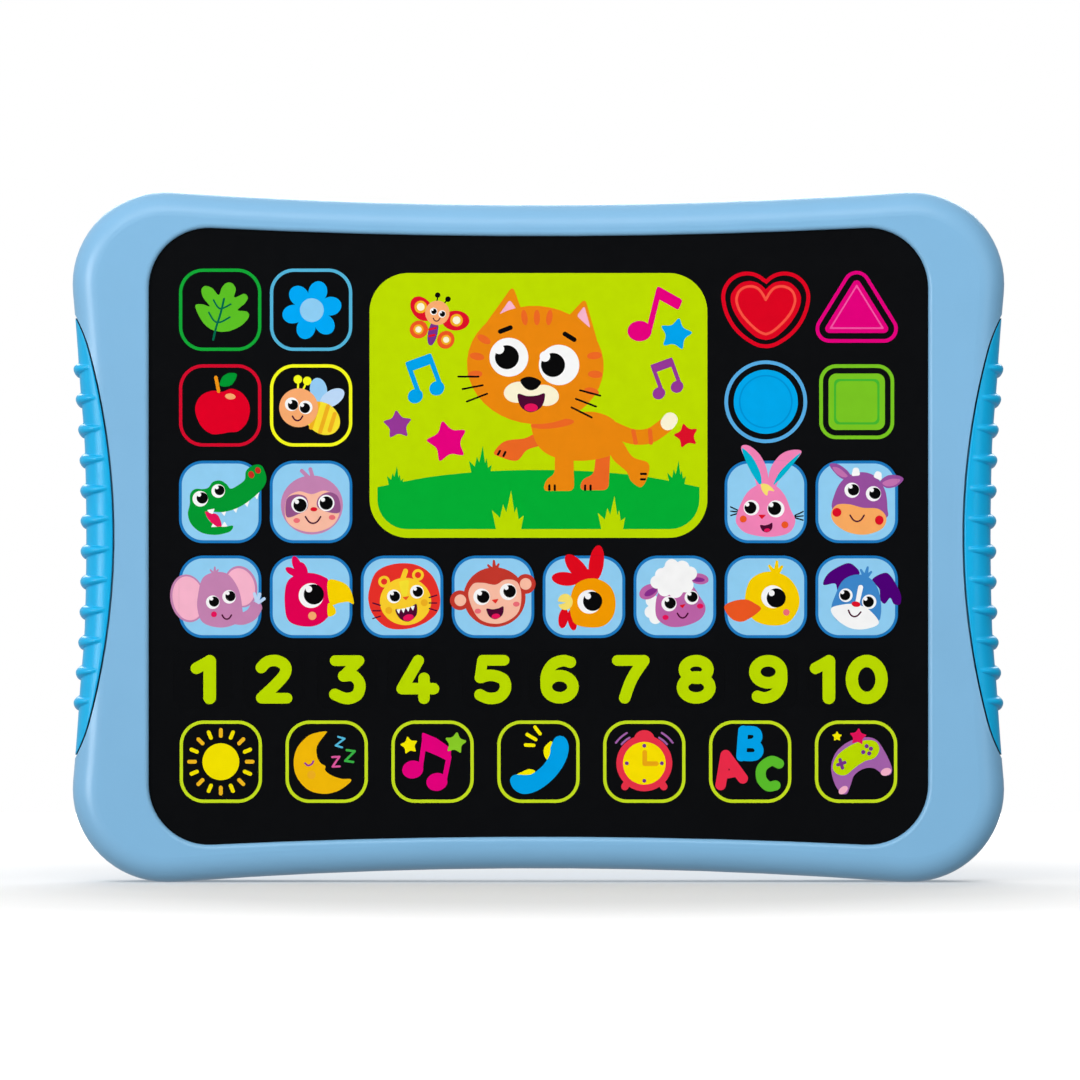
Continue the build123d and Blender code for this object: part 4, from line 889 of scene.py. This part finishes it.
def shape_inside(name, distance):
    """The outline of the circle, square or triangle key, drawn in by a distance."""
    if name == "circle":
        return oval(0, 0, CIRCLE_RADIUS - distance, count=72)
    if name == "square":
        wide = SQUARE_WIDTH - 2 * distance
        return box(0, 0, wide, wide, max(SQUARE_ROUND - distance, 1.3))
    height = TRIANGLE_TOP - TRIANGLE_LOW
    inner = TRIANGLE_HALF * height / (TRIANGLE_HALF + hypot(TRIANGLE_HALF, height))
    scale, middle = 1 - distance / inner, TRIANGLE_LOW + inner
    half, low = TRIANGLE_HALF * scale, TRIANGLE_LOW + distance
    corners = [(-half, low), (half, low), (0, middle + (TRIANGLE_TOP - middle) * scale)]
    return rounded(corners, max(TRIANGLE_ROUND - distance, 1.0) if distance < 3 else 0.2)


def shape_backing(name, rim, fill, line):
    """A backing painter: a coloured rim, a black gap, a filled shape and a fine line inside it."""
    if name == "heart":
        mark = paint(line, stroke(HEART_LINE + HEART_LINE[:1], HEART_FINE, smooth=False))
        return lambda outline: [(outline, rim), (inset(outline, HEART_RING), "black"),
                                (HEART_FILL, fill)] + mark
    layers = zip((RIM, *SHAPE_STEPS[name]), ("black", fill, line, fill))
    inside = [(shape_inside(name, distance), ink) for distance, ink in layers]
    return lambda outline: [(outline, rim)] + inside


# ---- materials ----
NOISE_LOW, NOISE_HIGH = 0.3, 0.7         # where most of a texture's values lie
FINER_PATCHES = 3.1                      # how much finer the gloss varies than the colour
SCATTER_REACH, SCATTER_SCALE = (0.002, 0.003, 0.004), 0.6    # how far light travels inside soft rubber
FILM_GLOSS, FILM_GRAIN = (0.16, 0.24), (1200, 0.06, 0.00002)
ZINC = (186, 188, 190)
SLEEVE_BAND = 0.012                      # the cells' band begins this far, in metres, from the middle


def linear(colour):
    """Display colour, 0 to 255, as linear light."""
    return [c / 3294.6 if c <= 10.3 else ((c / 255 + 0.055) / 1.055) ** 2.4 for c in colour]


def nodes_of(material):
    """A material's node tree, its shader, and the object's own coordinates."""
    tree = material.node_tree
    where = tree.nodes.new("ShaderNodeTexCoord").outputs["Object"]
    return tree, tree.nodes["Principled BSDF"], where


def noise(tree, where, scale, detail=3.0):
    node = tree.nodes.new("ShaderNodeTexNoise")
    node.inputs["Scale"].default_value = scale
    node.inputs["Detail"].default_value = detail
    tree.links.new(where, node.inputs["Vector"])
    return node.outputs["Fac"]


def ramp(tree, value, start, end, low, high):
    """Maps a value from start to end onto low to high."""
    node = tree.nodes.new("ShaderNodeMapRange")
    node.inputs["From Min"].default_value, node.inputs["From Max"].default_value = start, end
    node.inputs["To Min"].default_value, node.inputs["To Max"].default_value = low, high
    tree.links.new(value, node.inputs["Value"])
    return node.outputs["Result"]


def share(tree, value):
    """A texture's value as a share from 0 to 1 of its usual span."""
    return ramp(tree, value, NOISE_LOW, NOISE_HIGH, 0.0, 1.0)


def arithmetic(tree, operation, first, second):
    """A Math node on a socket and either another socket or a number."""
    node = tree.nodes.new("ShaderNodeMath")
    node.operation = operation
    tree.links.new(first, node.inputs[0])
    if isinstance(second, float):
        node.inputs[1].default_value = second
    else:
        tree.links.new(second, node.inputs[1])
    return node.outputs[0]


def parted(tree, where):
    """The X, Y and Z of a place."""
    node = tree.nodes.new("ShaderNodeSeparateXYZ")
    tree.links.new(where, node.inputs["Vector"])
    return node.outputs


def between(tree, value, first, second):
    """A colour that runs from the first to the second with the value."""
    node = tree.nodes.new("ShaderNodeMix")
    node.data_type = "RGBA"
    tree.links.new(value, node.inputs["Factor"])
    node.inputs["A"].default_value = (*first, 1)
    node.inputs["B"].default_value = (*second, 1)
    return node.outputs["Result"]


def bumped(tree, height, strength, depth):
    node = tree.nodes.new("ShaderNodeBump")
    node.inputs["Strength"].default_value = strength
    node.inputs["Distance"].default_value = depth
    tree.links.new(height, node.inputs["Height"])
    return node.outputs["Normal"]


def surface(name, colour, roughness=(0.3, 0.4), shade=0.05, grain=(900, 0.1, 0.00003), metallic=0.0,
            specular=0.5, coat=0.0, coat_roughness=0.1, subsurface=0.0, blotch=45):
    """A moulded, printed or metal surface. Its colour varies by shade up and down, in blotches; its roughness
    varies over a range; grain is the scale, strength and depth in metres of fine bumps."""
    material = bpy.data.materials.new(name)
    material.use_nodes = True
    tree, shader, where = nodes_of(material)
    base = linear(colour)
    dark, light = [c * (1 - shade) for c in base], [min(1.0, c * (1 + shade)) for c in base]
    patches = share(tree, noise(tree, where, blotch))
    tree.links.new(between(tree, patches, dark, light), shader.inputs["Base Color"])
    finer = noise(tree, where, blotch * FINER_PATCHES, detail=5.0)
    uneven = ramp(tree, finer, NOISE_LOW, NOISE_HIGH, *roughness)
    tree.links.new(uneven, shader.inputs["Roughness"])
    scale, strength, depth = grain
    fine = noise(tree, where, scale, detail=2.0)
    tree.links.new(bumped(tree, fine, strength, depth), shader.inputs["Normal"])
    shader.inputs["Metallic"].default_value = metallic
    shader.inputs["Specular IOR Level"].default_value = specular
    shader.inputs["Coat Weight"].default_value = coat
    shader.inputs["Coat Roughness"].default_value = coat_roughness
    if subsurface:
        shader.inputs["Subsurface Weight"].default_value = subsurface
        shader.inputs["Subsurface Radius"].default_value = SCATTER_REACH
        shader.inputs["Subsurface Scale"].default_value = SCATTER_SCALE
    return material


def patterned(material, pattern, first, second):
    """Recolours a material: the pattern's value runs from one colour to the other."""
    tree, shader, where = nodes_of(material)
    colour = between(tree, pattern(tree, where), linear(first), linear(second))
    tree.links.new(colour, shader.inputs["Base Color"])
    return material


def ink_material(ink):
    """One printed ink under the films' satin top coat."""
    name = "ink_" + ink
    if name in bpy.data.materials:
        return bpy.data.materials[name]
    shown = [PRINT_DEPTH * c for c in INKS[ink]]
    return surface(name, shown, FILM_GLOSS, 0.025, FILM_GRAIN, specular=0.1, blotch=260)


def finish_case():
    """A material for each CAD node that stays visible; the keys' bodies share one."""
    blue = surface("case_abs", (127, 181, 219), (0.285, 0.35), 0.015, (700, 0.05, 0.00002), specular=0.45)
    panel = surface("panel_film", INKS["black"], FILM_GLOSS, 0.05, FILM_GRAIN, specular=0.1, blotch=120)
    key_body = surface("key_body", (24, 25, 28), (0.4, 0.5), 0.05, specular=0.25)
    finishes = {
        "front_housing": blue, "rear_housing": blue, "battery_door": blue, "front_panel": panel,
        "picture_window": surface("window_diffuser", (206, 226, 120), (0.35, 0.45), 0.03, specular=0.3),
        "key_spacer": surface("spacer_film", (214, 216, 210), (0.29, 0.36), 0.03),
        "contact_film": contact_print(),
        "backing_plate": surface("natural_abs", (226, 226, 218), (0.42, 0.55), 0.03),
        "screws": plated("zinc_screws", ZINC),
        "door_screw_left": plated("zinc_screw_left", ZINC),
        "door_screw_right": plated("zinc_screw_right", ZINC),
        "battery_cells": cell_sleeve(),
        "battery_contacts": plated("nickel", (204, 200, 190)),
        "main_board": board_resin("board_resin", (14, 98, 52), (22, 130, 70)),
        "board_parts": surface("component_epoxy", (22, 22, 24), (0.45, 0.6), 0.1),
        "switch_body": plated("switch_can", (176, 178, 178)),
        "switch_slider": surface("slider", (30, 31, 34), (0.45, 0.55), 0.06, (1200, 0.3, 0.00006)),
        "speaker_frame": plated("speaker_steel", (112, 114, 118)),
        "speaker_cone": paper(),
        "led_board": surface("lamp_board", (232, 232, 224), (0.35, 0.5), 0.03),
        "wire_leads": surface("lead_sleeve", (206, 26, 24), (0.35, 0.45), 0.08),
    }
    for name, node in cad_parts.items():
        if not name.startswith("grip_"):
            node.data.materials.clear()
            node.data.materials.append(finishes.get(name, key_body))
            for polygon in node.data.polygons:
                polygon.material_index = 0


def plated(name, colour):
    """Bright plating with fine turned lines."""
    return surface(name, colour, (0.285, 0.4), 0.08, (1800, 0.15, 0.00003), metallic=1.0, blotch=400)


def paper():
    """Pressed black paper, for the speaker's cone."""
    return surface("cone_paper", (38, 37, 36), (0.8, 0.95), 0.15, (2200, 0.6, 0.0001), specular=0.1,
                   blotch=700)


def contact_print():
    """Clear film with parallel printed silver tracks."""
    def tracks(tree, where):
        wave = tree.nodes.new("ShaderNodeTexWave")
        wave.inputs["Scale"].default_value = 120
        tree.links.new(where, wave.inputs["Vector"])
        return share(tree, wave.outputs["Fac"])

    plain = surface("contact_print", (196, 204, 200), (0.29, 0.4), 0.04)
    return patterned(plain, tracks, (204, 212, 208), (150, 154, 156))


def board_resin(name, dark, light):
    """Solder mask over copper tracks."""
    def tracks(tree, where):
        cells = tree.nodes.new("ShaderNodeTexVoronoi")
        cells.distance = "CHEBYCHEV"
        cells.feature = "F2"
        cells.inputs["Scale"].default_value = 260
        tree.links.new(where, cells.inputs["Vector"])
        return share(tree, cells.outputs["Distance"])

    return patterned(surface(name, dark, (0.29, 0.4), 0.05), tracks, dark, light)


def cell_sleeve():
    """Printed foil sleeve: a dark can with a copper-coloured band at one end."""
    def band(tree, where):
        return arithmetic(tree, "GREATER_THAN", parted(tree, where)["X"], SLEEVE_BAND)

    foil = patterned(surface("cell_sleeve", (44, 84, 78), (0.285, 0.36), 0.04), band, (38, 74, 70),
                     (196, 140, 84))
    foil.node_tree.nodes["Principled BSDF"].inputs["Metallic"].default_value = 0.5
    return foil


# ---- grips, in millimetres; heights are counted from the waist's middle ----
WAIST, CORNER_BOW, HALF_CHORD, MIDDLE = 117.0, 6.15, 91.425, 89.0    # the case's side, as in the CAD
BORDER, BORDER_ARC, SHOULDER, TIP = 108.9, 181.0, 47.5, (122.0, 61.0)    # the grip's inner border, likewise
GROOVE = 0.5                             # gap along the border
GRIP_DROP, DROP_START, DROP_FADE = 0.5, 22.0, 20.0    # how far the grip lies below the side, and up to where
FLAT_DEPTH, ROUND = 12.0, 6.0            # half the grip's depth, and the rounding of its edges
RIB_COUNT, RIB_PITCH = 12, 7.8
RIB_REACH, RIB_HALF = 1.5, 2.05          # how high and half how wide a rib is at its fullest
RIB_END = 1.1                            # how far short of the border the ribs end
ROWS, COLUMNS = 620, 84
EDGE_FOLD = {0: 0.1, 1: 0.55, 2: 1.6}    # how deep the sheet's edge and the folds past it are turned in
# columns past each edge of the grip's sheet, turned in and painted near-black: painted shade in the groove
# along the border
SHADED_EDGE_COLUMNS = 2
HIGHEST_END, END_PRECISION = 60.0, 0.01  # the border meets the side below this height, found this closely


def side_x(z):
    """Half width of the grips' side at a height."""
    radius = (HALF_CHORD**2 + CORNER_BOW**2) / (2 * CORNER_BOW)
    rise = min(max((abs(z) - DROP_START) / DROP_FADE, 0.0), 1.0)
    drop = GRIP_DROP * (1 - rise * rise * (3 - 2 * rise))
    return WAIST + radius - sqrt(radius**2 - z * z) - drop


def border_x(z):
    """Half width of the grips' inner border at a height, gap included."""
    z = abs(z)
    if z <= SHOULDER:
        return BORDER + BORDER_ARC - sqrt(BORDER_ARC**2 - z * z) + GROOVE
    slope = SHOULDER / BORDER_ARC
    shoulder = Vector((BORDER + BORDER_ARC - sqrt(BORDER_ARC**2 - SHOULDER**2), SHOULDER))
    normal = Vector((sqrt(1 - slope * slope), -slope))
    chord = Vector(TIP) - shoulder
    radius = chord.length_squared / (2 * chord.dot(normal))
    centre = shoulder + normal * radius
    inside = radius**2 - (z - centre.y) ** 2
    return centre.x - sqrt(max(inside, 0.0)) + GROOVE


def rib_height(u, z, reach):
    """How far the ribs stand out at arc position u, height z, on a grip reaching to u = reach. Along its
    length, q from 0 to 1, a rib grows narrower and lower and bends up; v runs across it from -1 to 1."""
    nearest = round(z / RIB_PITCH - 0.5) + 0.5
    q = abs(u) / max(reach - RIB_END, 0.1)
    if abs(nearest) > RIB_COUNT / 2 or q >= 1:
        return 0.0
    half = RIB_HALF * (1 - 0.78 * q**1.7)
    v = (z - nearest * RIB_PITCH - 0.75 * q * q) / half
    if abs(v) >= 1:
        return 0.0
    return RIB_REACH * (1 - q**4) ** 0.8 * (1 - v * v) ** (0.5 if v < 0 else 0.7)


def section(u, x_side):
    """Place and outward direction on the grip's cross-section at arc position u from the side's middle."""
    s = 1 if u >= 0 else -1
    u = abs(u)
    straight = FLAT_DEPTH - ROUND
    if u <= straight:
        return x_side, s * u, 1.0, 0.0
    a = (u - straight) / ROUND
    if a <= pi / 2:
        return x_side - ROUND + ROUND * cos(a), s * (straight + ROUND * sin(a)), cos(a), s * sin(a)
    return x_side - ROUND - (a - pi / 2) * ROUND, s * FLAT_DEPTH, 0.0, s * 1.0


def section_reach(z):
    """The arc position at which the cross-section at a height meets the inner border."""
    past_side = side_x(z) - border_x(z)
    if past_side >= ROUND:
        return FLAT_DEPTH - ROUND + ROUND * pi / 2 + past_side - ROUND
    level = 1 - max(past_side, 0.0) / ROUND
    return FLAT_DEPTH - ROUND + ROUND * (pi / 2 - atan2(level, sqrt(1 - level * level)))


def grip_end():
    """Height at which the border meets the side."""
    low, high = SHOULDER, HIGHEST_END
    while high - low > END_PRECISION:
        middle = (low + high) / 2
        low, high = (middle, high) if border_x(middle) < side_x(middle) else (low, middle)
    return low


def grip(side, rubber, groove_shade):
    """One grip as a fine sheet round the case's edge, with teardrop ribs blended into it; its turned-in edges
    are painted near-black as shade in the groove. side is 1 or -1.
    """
    top = grip_end()
    coords = []
    for r in range(ROWS + 1):
        z = -top + 2 * top * r / ROWS
        reach = section_reach(z)
        for c in range(-SHADED_EDGE_COLUMNS, COLUMNS + SHADED_EDGE_COLUMNS + 1):
            u = reach * (2 * min(max(c / COLUMNS, 0.0), 1.0) - 1)
            x, w, nx, nw = section(u, side_x(z))
            high = rib_height(u, z, reach) - EDGE_FOLD.get(max(-c, c - COLUMNS), 0.0)
            coords.append((side * (x + nx * high) * MM, -(w + nw * high) * MM, (MIDDLE + z) * MM))
    wide = COLUMNS + 2 * SHADED_EDGE_COLUMNS + 1
    faces, slots = [], []
    for r in range(ROWS):
        for c in range(wide - 1):
            a = r * wide + c
            quad = (a, a + 1, a + wide + 1, a + wide)
            faces.append(quad if side > 0 else quad[::-1])
            # the turned-in edge columns take the near-black slot, painted shade in the groove
            slots.append(0 if SHADED_EDGE_COLUMNS <= c < wide - 1 - SHADED_EDGE_COLUMNS else 1)
    hand = "right" if side > 0 else "left"
    mesh = bpy.data.meshes.new("grip_cover_" + hand)
    mesh.from_pydata(coords, [], faces)
    mesh.materials.append(rubber)
    mesh.materials.append(groove_shade)
    mesh.polygons.foreach_set("material_index", slots)
    mesh.update()
    mesh.shade_smooth()
    cover = added(mesh.name, mesh)
    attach(cover, "case")
    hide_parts("grip_" + hand)


# ---- room, in metres ----
FLOOR_LEFT, FLOOR_RIGHT, FLOOR_FRONT, FLOOR_BACK = -0.75, 0.75, -0.95, 0.6
CAMERA_DISTANCE, VIEW_WIDTH = 2.4, 0.2775    # from the tablet's front face, and what is seen there
AIM_X, AIM_HEIGHT = 0.0004, 0.0881
SENSOR = 36    # millimetres
GLOW_FROM, GLOW_TO, GLOW_LEAST, GLOW_MOST = 0.14, 0.6, 0.2, 0.9    # the floor's, by distance from the middle
LIGHT_BELOW, LIGHT_AT_CAMERA, LIGHT_AT_RIGHT = 0.42, 0.1, 0.25     # the surroundings', as shares of the full


def softbox(name, place, target, size, power, mirrored=True):
    """A large soft light that the camera doesn't see, and that glossy surfaces show where mirrored is set."""
    lamp = bpy.data.lights.new(name, "AREA")
    lamp.shape = "RECTANGLE"
    lamp.size, lamp.size_y = size
    lamp.energy = power
    holder = added(name, lamp)
    holder.location = place
    holder.visible_camera = False
    holder.visible_glossy = mirrored
    holder.rotation_euler = (Vector(target) - Vector(place)).to_track_quat("-Z", "Y").to_euler()


def floor():
    """A plain pale sheet. It glows faintly, more so further out, so that its shadows stay pale and its edge
    can't be told from the pale surroundings."""
    mesh = bpy.data.meshes.new("floor")
    front = [(FLOOR_LEFT, FLOOR_FRONT, 0), (FLOOR_RIGHT, FLOOR_FRONT, 0)]
    back = [(FLOOR_RIGHT, FLOOR_BACK, 0), (FLOOR_LEFT, FLOOR_BACK, 0)]
    mesh.from_pydata(front + back, [], [(0, 1, 2, 3)])
    ground = added("floor", mesh)
    pale = surface("floor_sheet", (213, 213, 213), (0.8, 0.9), 0.004, (300, 0.02, 0.00005), specular=0.05,
                   blotch=3)
    tree, shader, where = nodes_of(pale)
    away = tree.nodes.new("ShaderNodeVectorMath")
    away.operation = "LENGTH"
    tree.links.new(where, away.inputs[0])
    shader.inputs["Emission Color"].default_value = (1, 1, 1, 1)
    glow = ramp(tree, away.outputs["Value"], GLOW_FROM, GLOW_TO, GLOW_LEAST, GLOW_MOST)
    tree.links.new(glow, shader.inputs["Emission Strength"])
    mesh.materials.append(pale)
    ground.visible_diffuse = ground.visible_glossy = False


def sky():
    """Pale surroundings for the camera. What they light gets a dimmer glow, brightest from above, and dark
    round the camera and on the right."""
    world = bpy.data.worlds.new("studio")
    bpy.context.scene.world = world
    world.use_nodes = True
    tree = world.node_tree
    tree.nodes.clear()
    out = tree.nodes.new("ShaderNodeOutputWorld")
    choose = tree.nodes.new("ShaderNodeMixShader")
    path = tree.nodes.new("ShaderNodeLightPath")
    pale, glow = tree.nodes.new("ShaderNodeBackground"), tree.nodes.new("ShaderNodeBackground")
    pale.inputs["Color"].default_value = (1, 1, 1, 1)
    where = tree.nodes.new("ShaderNodeTexCoord").outputs["Generated"]
    split = parted(tree, where)
    above = ramp(tree, split["Z"], -1.0, 1.0, LIGHT_BELOW, 1.0)
    front = ramp(tree, split["Y"], -0.98, -0.8, LIGHT_AT_CAMERA, 1.0)
    right = ramp(tree, split["X"], 0.1, 0.85, 1.0, LIGHT_AT_RIGHT)
    level = arithmetic(tree, "MULTIPLY", arithmetic(tree, "MULTIPLY", above, front), right)
    tree.links.new(level, glow.inputs["Strength"])
    tree.links.new(path.outputs["Is Camera Ray"], choose.inputs["Fac"])
    tree.links.new(glow.outputs[0], choose.inputs[1])
    tree.links.new(pale.outputs[0], choose.inputs[2])
    tree.links.new(choose.outputs[0], out.inputs["Surface"])


def camera():
    """Straight from the front and far away, level with the middle of the tablet's height."""
    data = bpy.data.cameras.new("camera")
    data.sensor_width = SENSOR
    data.lens = SENSOR * CAMERA_DISTANCE / VIEW_WIDTH
    data.clip_end = 50
    holder = added("camera", data)
    holder.location = (AIM_X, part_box("front_housing")[0].y - CAMERA_DISTANCE, AIM_HEIGHT)
    holder.rotation_euler = (pi / 2, 0, 0)
    bpy.context.scene.camera = holder


# ---- everything together ----
# each key picture is a function with its key's name, under the inks of the keys' line and ground
KEY_PICTURES = [
    ("leaf_ring", "black", [leaf]), ("petal_ring", "black", [flower]), ("apple_ring", "black", [apple]),
    ("bee_ring", "black", [bee]),
    ("tile_edge", "tile", [crocodile, sloth, rabbit, cow, elephant, parrot, lion, monkey, rooster, sheep,
                           duck, puppy]),
    ("lime_ring", "black", [sun, moon, music, phone, clock, letters, gamepad]),
]
SHAPE_RIMS = {"heart": "heart", "triangle": "triangle", "circle": "circle_ring", "square": "square"}

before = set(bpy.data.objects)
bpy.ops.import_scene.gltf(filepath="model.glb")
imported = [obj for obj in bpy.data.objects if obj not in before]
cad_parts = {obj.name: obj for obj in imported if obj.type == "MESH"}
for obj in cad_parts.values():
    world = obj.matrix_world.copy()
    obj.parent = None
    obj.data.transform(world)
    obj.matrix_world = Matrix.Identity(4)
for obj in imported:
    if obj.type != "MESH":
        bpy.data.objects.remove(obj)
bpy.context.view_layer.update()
camera()
finish_case()

spill = {}
for line_ink, ground_ink, pictures in KEY_PICTURES:
    for picture in pictures:
        key = picture.__name__
        spill[key] = print_key(key, tile_backing(line_ink, ground_ink), picture())
for key, rim_ink in SHAPE_RIMS.items():
    print_key(key, shape_backing(key, rim_ink, key, key + "_line"), [])
for number in range(1, 11):
    marks = digit(number) if number < 10 else moved(digit(1), -6.7) + moved(digit(0), 4.6)
    print_key(f"number_{number}", lambda outline: [(outline, "black")], marks)

panel_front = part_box("front_panel")[0].y
for key, (verts, outside, centre) in spill.items():
    if outside:
        film("panel_print_" + key, verts, outside, centre, panel_front, "case")

outline, centre, window_front = face_outline("picture_window")
window_shapes = [(inset(outline, -WINDOW_OVERLAP), "lime")] + window_picture()
verts, triangles, sources = arrange(window_shapes)
printed = [(t, window_shapes[max(inside)][1]) for t, inside in zip(triangles, sources) if 0 in inside]
film("window_print", verts, printed, centre, window_front, "case")

rubber = surface("grip_rubber", (6, 174, 228), (0.285, 0.37), 0.03, (600, 0.08, 0.00003), specular=0.4,
                 subsurface=0.1)
# near-black blue on the grips' turned-in edges: painted shade in the groove along the border, not the
# rubber's own colour
groove_shade = surface("grip_painted_groove_shade", (8, 30, 52), (0.5, 0.6), 0.05, specular=0.2)
for side in (-1, 1):
    grip(side, rubber, groove_shade)

floor()
sky()
softbox("front_left", (-1.55, -1.6, 0.3), (0, 0, 0.09), (1.0, 1.1), 22)
softbox("front_right", (1.55, -1.6, 0.3), (0, 0, 0.09), (1.0, 1.1), 16.5, mirrored=False)
softbox("above_camera", (-0.2, -1.6, 1.2), (0, 0, 0.05), (1.4, 0.9), 11)
softbox("behind", (0.0, 1.6, 1.1), (0, 0, 0.0), (1.6, 1.0), 22)
bpy.context.scene.view_settings.view_transform = "Standard"
